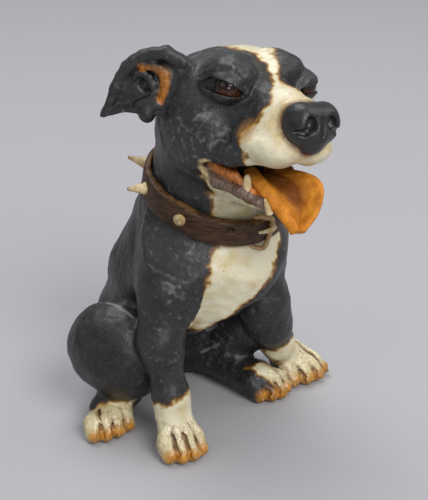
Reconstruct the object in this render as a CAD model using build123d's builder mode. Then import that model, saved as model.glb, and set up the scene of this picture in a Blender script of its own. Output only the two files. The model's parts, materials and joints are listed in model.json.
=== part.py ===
"""Seated dog figure in glazed ceramic, hand-built from separately modelled clay pieces.

The torso and head are hollow pots that meet at the neck. Legs, paws, ears, jaw, tongue, collar and the
smaller pieces are modelled on their own and luted on, so each one is trimmed to the pieces it sits on.
Millimetres. The dog faces -Y, its right side is -X, and the origin is the middle of the flat seat.
"""

import os
from math import atan2, cos, degrees, radians, sin

from build123d import *

# Clay walls of the hollow torso and head, and the air hole in the seat
wall = 9
vent_diameter = 5
vent_back = 16

# Torso cross-sections from the seat up
seat_half_width = 39
seat_half_depth = 38
haunch_height = 20
haunch_half_width = 52
haunch_half_depth = 49
rump_height = 50
rump_forward = 9
rump_half_width = 56
rump_half_depth = 60
belly_height = 85
belly_forward = 26.5
belly_half_width = 51
belly_half_depth = 69
rib_height = 118
rib_out = -2.5
rib_forward = 40
rib_half_width = 53.5
rib_half_depth = 70
chest_height = 145
chest_forward = 48
chest_half_width = 50
chest_half_depth = 66

# Neck joint, a plane that leans forward under the collar
neck_height = 184
neck_forward = 60
neck_lean = 17
neck_half_width = 47
neck_half_depth = 52
neck_flare = 1.5
nape_rise = 42
nape_radius = 43
neck_top_rise = 70
neck_top_radius = 30

# Collar with its spikes and buckle
collar_width = 21
collar_thickness = 4.5
spike_count = 7
spike_first_angle = 79
spike_pitch_angle = 34
spike_base_radius = 5.5
spike_tip_radius = 1.6
spike_height = 14
buckle_height = 31
buckle_width = 15
buckle_bar = 4
buckle_thickness = 3.5
buckle_corner = 4
buckle_angle = 5
prong_length = 22
prong_root_radius = 2.2
prong_tip_radius = 1.3

# Head, turned to the dog's right and tilted down on its left
head_rise = 81
head_ahead = 20
head_turn = -10
head_tilt = 8
skull_half_width = 47
skull_half_length = 46
skull_half_height = 36
skull_back = 6
skull_drop = 10
cheek_spread = 28
cheek_back = 4
cheek_drop = 28
cheek_half_width = 22
cheek_half_length = 34
cheek_half_height = 32
brow_spread = 21.5
brow_forward = 19
brow_rise = 12
brow_half_width = 20
brow_half_length = 23
brow_half_height = 19
muzzle_root_forward = 24
muzzle_root_half_width = 30
muzzle_root_half_height = 29
muzzle_forward = 62
muzzle_half_width = 27
muzzle_half_height = 25
muzzle_end_forward = 83
muzzle_end_half_width = 20
muzzle_end_half_height = 18
muzzle_drop = 14
flew_spread = 15
flew_forward = 56
flew_drop = 25
flew_half_width = 17
flew_half_length = 27
flew_half_height = 16

# Face pieces, in the head's own frame
eye_radius = 9.5
eye_spread = 31
eye_forward = 31.5
eye_rise = 8.5
lid_radius = 11.6
slit_turn = 60
slit_spread = 36
slit_forward = 29
slit_half_length = 17
slit_half_depth = 9
slit_half_height = 5.3
nose_half_width = 19.5
nose_half_length = 14
nose_half_height = 16
nose_forward = 84
nose_drop = 5
jaw_root_forward = -5
jaw_root_half_width = 24
jaw_root_half_height = 13
jaw_forward = 16
jaw_drop = 59
jaw_half_width = 29
jaw_half_height = 15
chin_forward = 54
chin_drop = 64
chin_half_width = 17
chin_half_height = 9.5
chin_tip_forward = 66
chin_tip_radius = 7
tongue_root_forward = 38
tongue_lip_forward = 68
tongue_tip_forward = 80
tongue_drop = 52
tongue_hang = 27
tongue_loll = 5
tongue_half_width = 16
tongue_half_thickness = 6
tongue_tip_half_width = 7
tongue_tip_half_thickness = 4
tongue_lip_pitch = 40
tongue_tip_pitch = 85
tooth_count = 2
tooth_radius = 3.4
tooth_tip_radius = 0.8
tooth_height = 15
tooth_spread = 15.5
tooth_forward = 49
tooth_pitch = 11
tooth_inset = 2
ear_sweep = 135
ear_root_out = 40
ear_root_back = 10
ear_drop = 4
ear_half_height = 21
ear_half_thickness = 6.5
ear_fold_out = 59
ear_fold_back = 27
ear_tip_out = 79
ear_tip_back = 44
ear_tip_drop = 27
ear_tip_half_height = 3.5
ear_tip_half_thickness = 2.5
left_ear_lay = 28
left_ear_drop = 8

# Forelegs
shoulder_top_rise = 38
shoulder_top_radius = 10
shoulder_height = 138
shoulder_forward = 64
shoulder_half_width = 20
shoulder_half_depth = 28
elbow_height = 78
elbow_radius = 15
wrist_height = 30
wrist_radius = 12
right_shoulder_out = 48
right_elbow_out = 60
right_elbow_forward = 64
right_wrist_out = 60
right_wrist_forward = 76
left_shoulder_out = 37
left_elbow_out = 44.5
left_elbow_forward = 71
left_wrist_out = 67
left_wrist_forward = 64

# Hind legs, thigh and hock
thigh_height = 59
thigh_half_width = 31
thigh_half_depth = 43
thigh_half_height = 41
right_thigh_out = 66
right_thigh_forward = 20
right_thigh_turn = 20
left_thigh_out = 58
left_thigh_forward = 18
left_thigh_turn = -12
hock_height = 15
hock_half_width = 17
hock_half_height = 19
right_hock_out = 63
right_hock_forward = 20
right_hock_half_length = 22
left_hock_out = 35
left_hock_forward = 40
left_hock_half_length = 37
instep_height = 25
instep_radius = 11
right_heel_out = 72
right_heel_forward = 21
left_heel_out = 40
left_heel_forward = 59

# Paws, toes and claws
paw_length = 28.5
paw_forward = 6
paw_half_width = 16
paw_half_length = 17
paw_height = 13
toe_count = 4
toe_pitch = 8
toe_radius = 7
toe_half_length = 12
toe_rise = 7
toe_splay = 5
outer_toe_setback = 4
claw_radius = 2.8
claw_tip_radius = 0.8
claw_length = 4.5
claw_root = 3
claw_dip = 40
right_forepaw_turn = -18
left_forepaw_turn = 42
right_hind_paw_turn = -37
left_hind_paw_turn = 14

# Tail, lying on the ground and curled to the dog's left
tail_root_out = 6
tail_root_back = 36
tail_root_radius = 13
tail_root_heading = 150
tail_bend_out = 36
tail_bend_back = 60
tail_bend_radius = 9
tail_bend_heading = 100
tail_tip_out = 62
tail_tip_back = 46
tail_tip_radius = 5
tail_tip_heading = 50

os.makedirs("parts", exist_ok=True)
standing = (Align.CENTER, Align.CENTER, Align.MIN)


def oval_loft(sections):
    """Smooth solid through ovals, each given as its plane, half width and half depth."""
    with BuildPart() as body:
        for plane, half_width, half_depth in sections:
            with BuildSketch(plane):
                with BuildLine():
                    EllipticalCenterArc((0, 0), half_width, half_depth, 0, arc_size=180)
                    EllipticalCenterArc((0, 0), half_width, half_depth, 180, arc_size=180)
                make_face()
        loft()
    return body.part


def egg(place, half_sizes):
    """Ellipsoid with its middle at a place, its half sizes along that place's axes."""
    with BuildPart() as ball:
        Sphere(1)
        scale(by=half_sizes)
    return ball.part.moved(place)


def spot(out, forward, height, turn=0):
    """Place out to the dog's left and forward of the seat, turned about the vertical."""
    return Location((out, -forward, height), (0, 0, turn))


def level(out, forward, height):
    """Horizontal plane at such a place."""
    return Plane(spot(out, forward, height))


def facing(place, turn=0, pitch=0):
    """Upright plane that looks forward from a place, turned about the vertical and pitched down."""
    return Plane(place * Location((0, 0, 0), (0, 0, turn)) * Location((0, 0, 0), (90 + pitch, 0, 0)))


def keep(piece, name):
    """Names a finished piece and writes it out."""
    piece.label = name
    export_step(piece, f"parts/{name}.step")


# Neck joint: the torso ends on it, the head starts on it and the collar lies over it
neck_joint = Plane(Location((0, -neck_forward, neck_height), (neck_lean, 0, 0)))
neck_below = neck_joint.offset(-collar_width / 2)
neck_above = neck_joint.offset(collar_width / 2)
neck_low = (neck_below, neck_half_width + neck_flare, neck_half_depth + neck_flare)
neck_middle = (neck_joint, neck_half_width, neck_half_depth)
neck_high = (neck_above, neck_half_width - neck_flare, neck_half_depth - neck_flare)


def thinned(sections, amount):
    """The same sections, smaller all round by an amount."""
    return [(plane, width - amount, depth - amount) for plane, width, depth in sections]


# Torso, a hollow pot with an air hole in its flat seat
trunk = [
    (level(0, 0, haunch_height), haunch_half_width, haunch_half_depth),
    (level(0, rump_forward, rump_height), rump_half_width, rump_half_depth),
    (level(0, belly_forward, belly_height), belly_half_width, belly_half_depth),
    (level(rib_out, rib_forward, rib_height), rib_half_width, rib_half_depth),
    (level(0, chest_forward, chest_height), chest_half_width, chest_half_depth),
    neck_low,
    neck_middle,
]
seat = (level(0, 0, 0), seat_half_width, seat_half_depth)
seat_inside = (level(0, 0, wall), seat_half_width, seat_half_depth)
torso_form = oval_loft([seat] + trunk)
with BuildPart() as torso:
    add(torso_form)
    add(oval_loft(thinned([seat_inside] + trunk, wall)), mode=Mode.SUBTRACT)
    with BuildSketch(level(0, -vent_back, 0)):
        Circle(vent_diameter / 2)
    extrude(amount=2 * wall, mode=Mode.SUBTRACT)
keep(torso.part, "torso")

# Head frame, above the neck joint
head_middle = (0, -neck_forward - head_ahead, neck_height + head_rise)
head_place = Location(head_middle, (head_turn, 0, head_tilt), Intrinsic.ZXY)
sides = (("right", -1), ("left", 1))


def in_head(out, forward, rise):
    """Place in the head's frame, out to the dog's left, forward to the nose and up."""
    return head_place * Location((out, -forward, rise))


# Eyes, whole balls that the head's sockets fit, and the slits between their lids
eyes = []
slits = []
for side, direction in sides:
    with BuildPart(Plane(in_head(direction * eye_spread, eye_forward, eye_rise))) as eye:
        Sphere(eye_radius)
    keep(eye.part, f"{side}_eye")
    eyes.append(eye.part)
    slit_place = in_head(direction * slit_spread, slit_forward, eye_rise)
    slit_place = slit_place * Location((0, 0, 0), (0, 0, direction * slit_turn))
    slits.append(egg(slit_place, (slit_half_length, slit_half_depth, slit_half_height)))

# Upper head with the neck, hollow and open below into the torso
neck = [
    neck_middle,
    neck_high,
    (level(0, neck_forward, neck_height + nape_rise), nape_radius, nape_radius),
    (level(0, neck_forward, neck_height + neck_top_rise), neck_top_radius, neck_top_radius),
]
muzzle = [
    (facing(in_head(0, muzzle_root_forward, -muzzle_drop)), muzzle_root_half_width, muzzle_root_half_height),
    (facing(in_head(0, muzzle_forward, -muzzle_drop)), muzzle_half_width, muzzle_half_height),
    (facing(in_head(0, muzzle_end_forward, -muzzle_drop)), muzzle_end_half_width, muzzle_end_half_height),
]
skull_size = (skull_half_width, skull_half_length, skull_half_height)
cheek_size = (cheek_half_width, cheek_half_length, cheek_half_height)
brow_size = (brow_half_width, brow_half_length, brow_half_height)
flew_size = (flew_half_width, flew_half_length, flew_half_height)
lid_size = (lid_radius, lid_radius, lid_radius)
with BuildPart() as head_form:
    add(egg(in_head(0, -skull_back, -skull_drop), skull_size))
    for side, direction in sides:
        add(egg(in_head(direction * cheek_spread, -cheek_back, -cheek_drop), cheek_size))
        add(egg(in_head(direction * brow_spread, brow_forward, brow_rise), brow_size))
        add(egg(in_head(direction * flew_spread, flew_forward, -flew_drop), flew_size))
        add(egg(in_head(direction * eye_spread, eye_forward, eye_rise), lid_size))
    add(oval_loft(muzzle))
    add(oval_loft(neck))
with BuildPart() as head:
    add(head_form.part)
    add(oval_loft(thinned(neck, wall)), mode=Mode.SUBTRACT)
    for slit, eye_ball in zip(slits, eyes):
        add(slit, mode=Mode.SUBTRACT)
        add(eye_ball, mode=Mode.SUBTRACT)
keep(head.part, "head")

# Collar strap, bent round the neck joint
with BuildPart() as collar_strap:
    add(oval_loft(thinned([neck_low, neck_high], -collar_thickness)))
    add(oval_loft(thinned([neck_low, neck_high], wall / 2)), mode=Mode.SUBTRACT)
    add([torso_form, head_form.part], mode=Mode.SUBTRACT)
keep(collar_strap.part, "collar_strap")


def on_collar(angle, depth):
    """Plane that looks out of the collar, an angle from its front to the dog's right, sunk by a depth."""
    half_width = neck_half_width + collar_thickness
    half_depth = neck_half_depth + collar_thickness
    across = half_width * sin(radians(angle))
    ahead = half_depth * cos(radians(angle))
    heading = -degrees(atan2(across / half_width**2, ahead / half_depth**2))
    return facing(neck_joint.location * Location((-across, -ahead, 0)), heading).offset(-depth)


# Nose pad
with BuildPart() as nose:
    add(egg(in_head(0, nose_forward, -nose_drop), (nose_half_width, nose_half_length, nose_half_height)))
    add(head_form.part, mode=Mode.SUBTRACT)
keep(nose.part, "nose")

# Lower jaw, dropped open
jaw_sections = [
    (facing(in_head(0, jaw_root_forward, -jaw_drop)), jaw_root_half_width, jaw_root_half_height),
    (facing(in_head(0, jaw_forward, -jaw_drop)), jaw_half_width, jaw_half_height),
    (facing(in_head(0, chin_forward, -chin_drop)), chin_half_width, chin_half_height),
    (facing(in_head(0, chin_tip_forward, -chin_drop)), chin_tip_radius, chin_tip_radius),
]
with BuildPart() as lower_jaw:
    add(oval_loft(jaw_sections))
    add([head_form.part, torso_form, collar_strap.part], mode=Mode.SUBTRACT)
keep(lower_jaw.part, "lower_jaw")

# Lower teeth on the right side, where the tongue leaves them in sight
tooth_places = [
    in_head(number * tooth_inset - tooth_spread, tooth_forward + number * tooth_pitch, -chin_drop)
    for number in range(tooth_count)
]
with BuildPart() as teeth_form:
    with Locations(tooth_places):
        Cone(tooth_radius, tooth_tip_radius, tooth_height, align=standing)
with BuildPart() as lower_teeth:
    add(teeth_form.part)
    add([lower_jaw.part, head_form.part], mode=Mode.SUBTRACT)
keep(lower_teeth.part, "lower_teeth")

# Tongue, out over the lower lip and hanging, pressed against the teeth
tongue_sections = [
    (facing(in_head(0, tongue_root_forward, -tongue_drop)), tongue_half_width, tongue_half_thickness),
    (facing(in_head(tongue_loll, tongue_lip_forward, -tongue_drop - tongue_half_thickness),
            pitch=tongue_lip_pitch), tongue_half_width, tongue_half_thickness),
    (facing(in_head(tongue_loll, tongue_tip_forward, -tongue_drop - tongue_hang),
            pitch=tongue_tip_pitch), tongue_tip_half_width, tongue_tip_half_thickness),
]
with BuildPart() as tongue:
    add(oval_loft(tongue_sections))
    add(teeth_form.part, mode=Mode.SUBTRACT)
    add([head_form.part, lower_jaw.part, collar_strap.part], mode=Mode.SUBTRACT)
keep(tongue.part, "tongue")

# Ears, folded back and drooping to a point
for side, direction in sides:
    ear_sections = []
    lay = left_ear_lay if side == "left" else 0
    lower = left_ear_drop if side == "left" else 0
    for out, back, drop, height, thickness in (
        (ear_root_out, ear_root_back, ear_drop, ear_half_height, ear_half_thickness),
        (ear_fold_out, ear_fold_back, ear_drop, ear_half_height, ear_half_thickness),
        (ear_tip_out, ear_tip_back, ear_tip_drop, ear_tip_half_height, ear_tip_half_thickness),
    ):
        ear_turn = Location((0, 0, 0), (0, 0, direction * lay))
        ear_place = head_place * ear_turn * Location((direction * out, back, -drop - lower))
        ear_sections.append((facing(ear_place, direction * ear_sweep), thickness, height))
    with BuildPart() as ear:
        add(oval_loft(ear_sections))
        add(head_form.part, mode=Mode.SUBTRACT)
    keep(ear.part, f"{side}_ear")

# Collar spikes, seated through half of the strap
spike_seat = collar_thickness / 2
spike_angles = [spike_first_angle + number * spike_pitch_angle for number in range(spike_count)]
with BuildPart() as collar_spikes:
    with Locations([on_collar(angle, spike_seat) for angle in spike_angles]):
        Cone(spike_base_radius, spike_tip_radius, spike_height + spike_seat, align=standing)
    add([collar_strap.part, torso_form, head_form.part], mode=Mode.SUBTRACT)
keep(collar_spikes.part, "collar_spikes")

# Buckle frame on the front of the collar, a little to the dog's right
buckle_seat = collar_thickness / 2
buckle_plane = on_collar(buckle_angle, buckle_seat)
with BuildPart() as buckle_frame:
    with BuildSketch(buckle_plane):
        RectangleRounded(buckle_width, buckle_height, buckle_corner)
        Rectangle(buckle_width - 2 * buckle_bar, buckle_height - 2 * buckle_bar, mode=Mode.SUBTRACT)
    extrude(amount=buckle_seat + buckle_thickness)
    add([collar_strap.part, torso_form, head_form.part, lower_jaw.part], mode=Mode.SUBTRACT)
keep(buckle_frame.part, "buckle_frame")

# Buckle prong, lying over both bars of the frame and pointing to the dog's right
prong_root = buckle_plane.location * Location((buckle_width / 2, 0, buckle_seat + buckle_thickness))
prong_end = prong_root * Location((-prong_length, 0, 0))
prong_turn = Location((0, 0, 0), (0, -90, 0))
with BuildPart() as buckle_prong:
    add(oval_loft([
        (Plane(prong_root * prong_turn), prong_root_radius, prong_root_radius),
        (Plane(prong_end * prong_turn), prong_tip_radius, prong_tip_radius),
    ]))
    add([buckle_frame.part, collar_strap.part], mode=Mode.SUBTRACT)
keep(buckle_prong.part, "buckle_prong")

# Forelegs, from the shoulder blade down to the wrist
forelegs = []
foreleg_reach = (
    ("right", -right_shoulder_out, shoulder_top_radius, (-right_elbow_out, right_elbow_forward),
     (-right_wrist_out, right_wrist_forward)),
    ("left", left_shoulder_out, -shoulder_top_radius, (left_elbow_out, left_elbow_forward),
     (left_wrist_out, left_wrist_forward)),
)
for side, shoulder_out, inward, elbow, wrist in foreleg_reach:
    leg_sections = [
        (level(shoulder_out + inward, shoulder_forward, shoulder_height + shoulder_top_rise),
         shoulder_top_radius, shoulder_top_radius),
        (level(shoulder_out, shoulder_forward, shoulder_height), shoulder_half_width, shoulder_half_depth),
        (level(*elbow, elbow_height), elbow_radius, elbow_radius),
        (level(*wrist, wrist_height), wrist_radius, wrist_radius),
    ]
    with BuildPart() as foreleg:
        add(oval_loft(leg_sections))
        add([torso_form, head_form.part, collar_strap.part], mode=Mode.SUBTRACT)
    keep(foreleg.part, f"{side}_foreleg")
    forelegs.append(foreleg.part)


def toe_places(heel):
    """Middle of each toe, fanned out ahead of the heel."""
    places = []
    for number in range(toe_count):
        step = number - (toe_count - 1) / 2
        setback = outer_toe_setback if number in (0, toe_count - 1) else 0
        ahead = paw_length - toe_half_length - setback
        places.append(heel * spot(step * toe_pitch, ahead, toe_rise, step * toe_splay))
    return places


def make_paw(name, heel, top_height, top_radius, leg, neighbours):
    """Paw with its toes, flat underneath and trimmed to its leg and neighbours, and its claws."""
    with BuildPart() as paw:
        add(oval_loft([
            (Plane(heel * spot(0, paw_forward, 0)), paw_half_width, paw_half_length),
            (Plane(heel * spot(0, paw_forward, paw_height)), paw_half_width, paw_half_length),
            (Plane(heel * spot(0, 0, top_height)), top_radius, top_radius),
        ]))
        for place in toe_places(heel):
            add(egg(place, (toe_radius, toe_half_length, toe_radius)))
        split(bisect_by=Plane.XY, keep=Keep.TOP)
        add([leg] + neighbours, mode=Mode.SUBTRACT)
    keep(paw.part, name)
    claw_planes = [
        facing(place * spot(0, toe_half_length - claw_root, 0), pitch=claw_dip)
        for place in toe_places(heel)
    ]
    with BuildPart() as claws:
        with Locations(claw_planes):
            Cone(claw_radius, claw_tip_radius, claw_length + claw_root, align=standing)
        add([paw.part] + neighbours, mode=Mode.SUBTRACT)
    keep(claws.part, f"{name}_claws")
    return paw.part


# Forepaws under the wrists
forepaws = [
    make_paw("right_forepaw", spot(-right_wrist_out, right_wrist_forward, 0, right_forepaw_turn),
             wrist_height, wrist_radius, forelegs[0], []),
    make_paw("left_forepaw", spot(left_wrist_out, left_wrist_forward, 0, left_forepaw_turn),
             wrist_height, wrist_radius, forelegs[1], []),
]

# Hind legs, a folded thigh over a hock that lies on the ground
hind_legs = []
thigh_size = (thigh_half_width, thigh_half_depth, thigh_half_height)
hind_reach = (
    ("right", spot(-right_thigh_out, right_thigh_forward, thigh_height, right_thigh_turn),
     spot(-right_hock_out, right_hock_forward, hock_height, right_hind_paw_turn), right_hock_half_length),
    ("left", spot(left_thigh_out, left_thigh_forward, thigh_height, left_thigh_turn),
     spot(left_hock_out, left_hock_forward, hock_height, left_hind_paw_turn), left_hock_half_length),
)
for reach, foreleg, forepaw in zip(hind_reach, forelegs, forepaws):
    side, thigh_place, hock_place, hock_half_length = reach
    with BuildPart() as hind_leg:
        add(egg(thigh_place, thigh_size))
        add(egg(hock_place, (hock_half_width, hock_half_length, hock_half_height)))
        split(bisect_by=Plane.XY, keep=Keep.TOP)
        add(torso_form, mode=Mode.SUBTRACT)
        add(foreleg, mode=Mode.SUBTRACT)
        add(forepaw, mode=Mode.SUBTRACT)
    keep(hind_leg.part, f"{side}_hind_leg")
    hind_legs.append(hind_leg.part)

# Hind paws
make_paw("right_hind_paw", spot(-right_heel_out, right_heel_forward, 0, right_hind_paw_turn),
         instep_height, instep_radius, hind_legs[0], [torso_form, forelegs[0]])
make_paw("left_hind_paw", spot(left_heel_out, left_heel_forward, 0, left_hind_paw_turn),
         instep_height, instep_radius, hind_legs[1], [torso_form, forelegs[1], forepaws[1]])

# Tail
tail_sections = []
for out, back, radius, heading in (
    (tail_root_out, tail_root_back, tail_root_radius, tail_root_heading),
    (tail_bend_out, tail_bend_back, tail_bend_radius, tail_bend_heading),
    (tail_tip_out, tail_tip_back, tail_tip_radius, tail_tip_heading),
):
    tail_sections.append((facing(spot(out, -back, radius), heading), radius, radius))
with BuildPart() as tail:
    add(oval_loft(tail_sections))
    split(bisect_by=Plane.XY, keep=Keep.TOP)
    add([torso_form] + hind_legs, mode=Mode.SUBTRACT)
keep(tail.part, "tail")
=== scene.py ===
# %% [markdown]
# A seated dog, modelled by hand in clay and glazed in black and cream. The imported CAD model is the
# fixed frame: it says where every piece is. This lesson dresses it, one skin over the body and one
# over the head, each cut into the pieces that the frame names.

import json
import math

import bmesh
import bpy
import numpy as np
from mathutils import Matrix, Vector


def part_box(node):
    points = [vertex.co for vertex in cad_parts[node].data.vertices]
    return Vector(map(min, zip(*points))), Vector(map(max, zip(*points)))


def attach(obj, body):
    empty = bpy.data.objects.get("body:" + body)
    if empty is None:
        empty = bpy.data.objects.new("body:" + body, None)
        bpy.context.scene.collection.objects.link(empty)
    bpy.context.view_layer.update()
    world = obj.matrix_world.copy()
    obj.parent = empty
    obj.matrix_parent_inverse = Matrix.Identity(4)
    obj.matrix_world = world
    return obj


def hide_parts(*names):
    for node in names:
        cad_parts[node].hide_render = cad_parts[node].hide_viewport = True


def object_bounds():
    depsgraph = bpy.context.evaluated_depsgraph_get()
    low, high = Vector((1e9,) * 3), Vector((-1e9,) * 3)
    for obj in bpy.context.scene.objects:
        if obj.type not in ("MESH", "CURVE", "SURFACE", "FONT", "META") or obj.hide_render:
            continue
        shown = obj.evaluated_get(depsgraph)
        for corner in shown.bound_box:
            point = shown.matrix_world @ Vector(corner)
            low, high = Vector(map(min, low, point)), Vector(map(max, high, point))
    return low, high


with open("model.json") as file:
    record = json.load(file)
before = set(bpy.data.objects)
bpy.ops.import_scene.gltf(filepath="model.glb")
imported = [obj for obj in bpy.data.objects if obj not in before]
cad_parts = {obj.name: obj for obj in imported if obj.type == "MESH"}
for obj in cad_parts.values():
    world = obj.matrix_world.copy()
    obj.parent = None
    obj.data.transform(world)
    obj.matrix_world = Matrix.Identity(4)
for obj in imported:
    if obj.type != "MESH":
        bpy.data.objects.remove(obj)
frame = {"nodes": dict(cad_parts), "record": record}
cad_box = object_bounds()
print("frame nodes:", len(frame["nodes"]))

# %% [markdown]
# Clay runs together where it is pressed, so its forms are written as distance fields: a function that
# says how far a point is from a form, less than zero inside. Fields melt into each other with a chosen
# softness. A mesh of boxes would need its joins sculpted by hand. All fields work in millimetres.

# %% Points, boxes and turns
MM = 0.001


def spot(*numbers):
    return np.array(numbers, np.float32)


def unit(vectors):
    return vectors / np.linalg.norm(vectors, axis=-1, keepdims=True)


def node_box(node):
    low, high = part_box(node)
    return spot(*low) / MM, spot(*high) / MM


def node_middle(node):
    low, high = node_box(node)
    return (low + high) / 2


def turn_about_z(degrees):
    angle = math.radians(degrees)
    cos, sin = math.cos(angle), math.sin(angle)
    return np.array([[cos, -sin, 0], [sin, cos, 0], [0, 0, 1]], np.float32)


def tip_about_x(degrees):
    angle = math.radians(degrees)
    cos, sin = math.cos(angle), math.sin(angle)
    return np.array([[1, 0, 0], [0, cos, -sin], [0, sin, cos]], np.float32)


# %% [markdown]
# Three forms are enough for the whole dog: an egg, a tapered rod and a coil made of such rods. They are
# joined by melting and hollowed by scooping. Blender's metaballs melt together as well, but here each
# join needs a softness of its own.

# %% Eggs, rods and coils
def egg(points, middle, half, axes=None):
    """Distance to an egg with three half sizes; the columns of axes turn it."""
    local = points - spot(*middle)
    if axes is not None:
        local = local @ axes
    half = spot(*half)
    ratio = np.sqrt(((local / half) ** 2).sum(-1))
    slope = np.sqrt(((local / half ** 2) ** 2).sum(-1)) + 1e-6
    return ratio * (ratio - 1) / slope


def rod(points, start, end, start_radius, end_radius):
    """Distance to a tapered rod with round ends."""
    start, end = spot(*start), spot(*end)
    along = end - start
    share = np.clip((points - start) @ along / (along @ along), 0, 1)
    apart = points - start - share[:, None] * along
    return np.sqrt((apart ** 2).sum(-1)) - (start_radius + (end_radius - start_radius) * share)


def melt(softness, *fields):
    """Joins forms, with a soft fillet."""
    joined = fields[0]
    for other in fields[1:]:
        share = np.clip(0.5 + 0.5 * (other - joined) / softness, 0, 1)
        joined = other + (joined - other) * share - softness * share * (1 - share)
    return joined


def scoop(field, tool, softness):
    """Takes a form out of another."""
    return -melt(softness, -field, tool)


def roll(points, stops, softness):
    """A coil of clay through stops of (x, y, z, radius)."""
    pieces = [rod(points, a[:3], b[:3], a[3], b[3]) for a, b in zip(stops, stops[1:])]
    return melt(softness, *pieces)


origin = spot(0, 0, 0)[None]
print("middle of a rod of radius 5:", rod(origin, (0, 0, -10), (0, 0, 10), 5, 5))

# %% [markdown]
# Fingers leave slow lumps on clay. They are the sum of four slanting waves, each swayed by another, so
# that no grid shows. A texture could displace the mesh, but as part of the field the lumps need no mesh.

# %% Finger marks
wave_turns = (0.3, 1.7, 2.9, 4.1)
wave_paces = (1.0, 1.21, 1.47, 1.7)
sway_depth, sway_pace = 1.3, 0.6


def lumps(points, size, depth):
    """Slow waves, the marks that fingers leave."""
    waves = np.zeros(len(points), np.float32)
    for turn, pace in zip(wave_turns, wave_paces):
        aim = unit(spot(math.cos(turn), math.sin(turn) * 0.8, math.sin(turn * 1.7)))
        other = unit(spot(-math.sin(turn), math.cos(turn * 1.3), math.cos(turn) * 0.7))
        step = pace * 2 * math.pi / size
        sway = sway_depth * np.sin(points @ other * step * sway_pace + turn)
        waves += np.sin(points @ aim * step + sway)
    return waves * depth / 2


print("lump of 1 mm at the origin:", lumps(origin, 30, 1).round(2))

# %% [markdown]
# The body is a barrel chest over a broad rump, with a lap scooped out between the legs. The forelegs hang
# from the shoulders, and the hind legs are folded, with big round thighs. Each foot has four toes over a
# pad. All places are measured from the middle of the seat, which is the frame's origin.

# %% Body forms
body_soft = {"trunk": 20, "lap": 12, "shoulder": 14, "leg": 12, "thigh": 12, "shank": 10, "tail": 8}
neck_low, neck_top, neck_taper = (0, -56, 178), (2, -60, 226), 3
body_neck_radius = 46


def neck_clay(p, radius):
    return rod(p, neck_low, neck_top, radius, radius - neck_taper)


def torso_clay(p):
    rib = egg(p, (0, -46, 130), (51.5, 60, 72), tip_about_x(-16))
    chest = egg(p, (-2, -79, 150), (41, 34, 44))
    belly = egg(p, (0, -6, 76), (47, 42, 54))
    rump = egg(p, (0, 10, 50), (56, 42, 52))
    flank = egg(p, (-6, -19, 112), (49, 47, 36))
    base = egg(p, (0, 14, 22), (47, 33, 34))
    trunk = melt(body_soft["trunk"], rib, chest, belly, rump, flank, base, neck_clay(p, body_neck_radius))
    left_lap = egg(p, (34, -96, 44), (76, 72, 74))
    low_lap = egg(p, (0, -75, 0), (60, 78, 46))
    return scoop(trunk, melt(body_soft["trunk"], left_lap, low_lap), body_soft["lap"])


def right_foreleg_clay(p):
    shoulder = egg(p, (-47, -62, 138), (20, 28, 42))
    stops = [(-53, -60, 120, 18.5), (-60, -63, 82, 15.5), (-60, -74, 40, 11.2), (-62, -80, 18, 10)]
    return melt(body_soft["shoulder"], shoulder, roll(p, stops, body_soft["leg"]))


def left_foreleg_clay(p):
    shoulder = egg(p, (38, -64, 138), (17, 26, 42))
    stops = [(37, -66, 116, 18.5), (41, -70, 82, 18.5), (47, -71, 62, 15.5), (61, -67, 38, 11.5),
             (75, -63, 18, 11.5)]
    return melt(body_soft["shoulder"], shoulder, roll(p, stops, body_soft["leg"]))


def right_hind_clay(p):
    thigh = egg(p, (-65, -20, 61), (30, 41, 37), turn_about_z(20))
    stops = [(-62, -28, 42, 18), (-56, -12, 20, 15), (-68, -20, 13, 11)]
    return melt(body_soft["thigh"], thigh, roll(p, stops, body_soft["shank"]))


def left_hind_clay(p):
    thigh = egg(p, (58, -18, 58), (32, 44, 42), turn_about_z(-12))
    stops = [(46, -46, 50, 20), (34, -4, 17, 16), (35, -66, 14, 12.5)]
    return melt(body_soft["thigh"], thigh, roll(p, stops, body_soft["leg"]))


def tail_clay(p):
    return roll(p, [(6, 36, 13, 13), (36, 60, 10, 9.5), (62, 46, 7, 5.5)], body_soft["tail"])


# %% [markdown]
# A paw is a pad with four toes pressed on to it and cuts between them. All four paws come from one
# function, with a heel, tip, width, rise and slant of their own, and their outer toes are shorter. One paw
# could be modelled and copied, but each real one is squeezed in its own way.

# %% Paws, toe by toe
toe_count = 4
toe_radius, knuckle_radius, toe_root_radius = 6.4, 6.9, 5.6
outer_toe_share = 0.87
root_along, knuckle_along = 0.1, 0.7
root_spread, knuckle_spread, tip_spread = 0.12, 0.225, 0.25
knuckle_rise, sole_sink = 12, 0.2
pad_reach, pad_back_rise, pad_front_rise = 11, 13, 11
pad_back_radius, pad_front_radius = 11.5, 10.5
paw_soft = {"toe_bend": 3, "toes": 1, "pad": 4, "groove": 1}
# Stops of a cut: the toe's stop that it is over, how far ahead of it, how much higher, and its radius.
groove_stops = [(0, 4, 5.4, 1.2), (1, 0, 6, 1.6), (2, 4.5, 3.8, 1.5), (2, 6, -6, 1.3)]
paws = {
    "right_forepaw": {"heel": (-61, -76), "tip": (-70, -106), "width": 33, "rise": 25, "slant": 0},
    "left_forepaw": {"heel": (79, -60), "tip": (85, -91), "width": 41, "rise": 23, "slant": -0.1},
    "right_hind_paw": {"heel": (-78, -17), "tip": (-91, -44), "width": 36, "rise": 13, "slant": 0.1},
    "left_hind_paw": {"heel": (43, -60), "tip": (42, -90), "width": 32, "rise": 17, "slant": -0.05},
}


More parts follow.
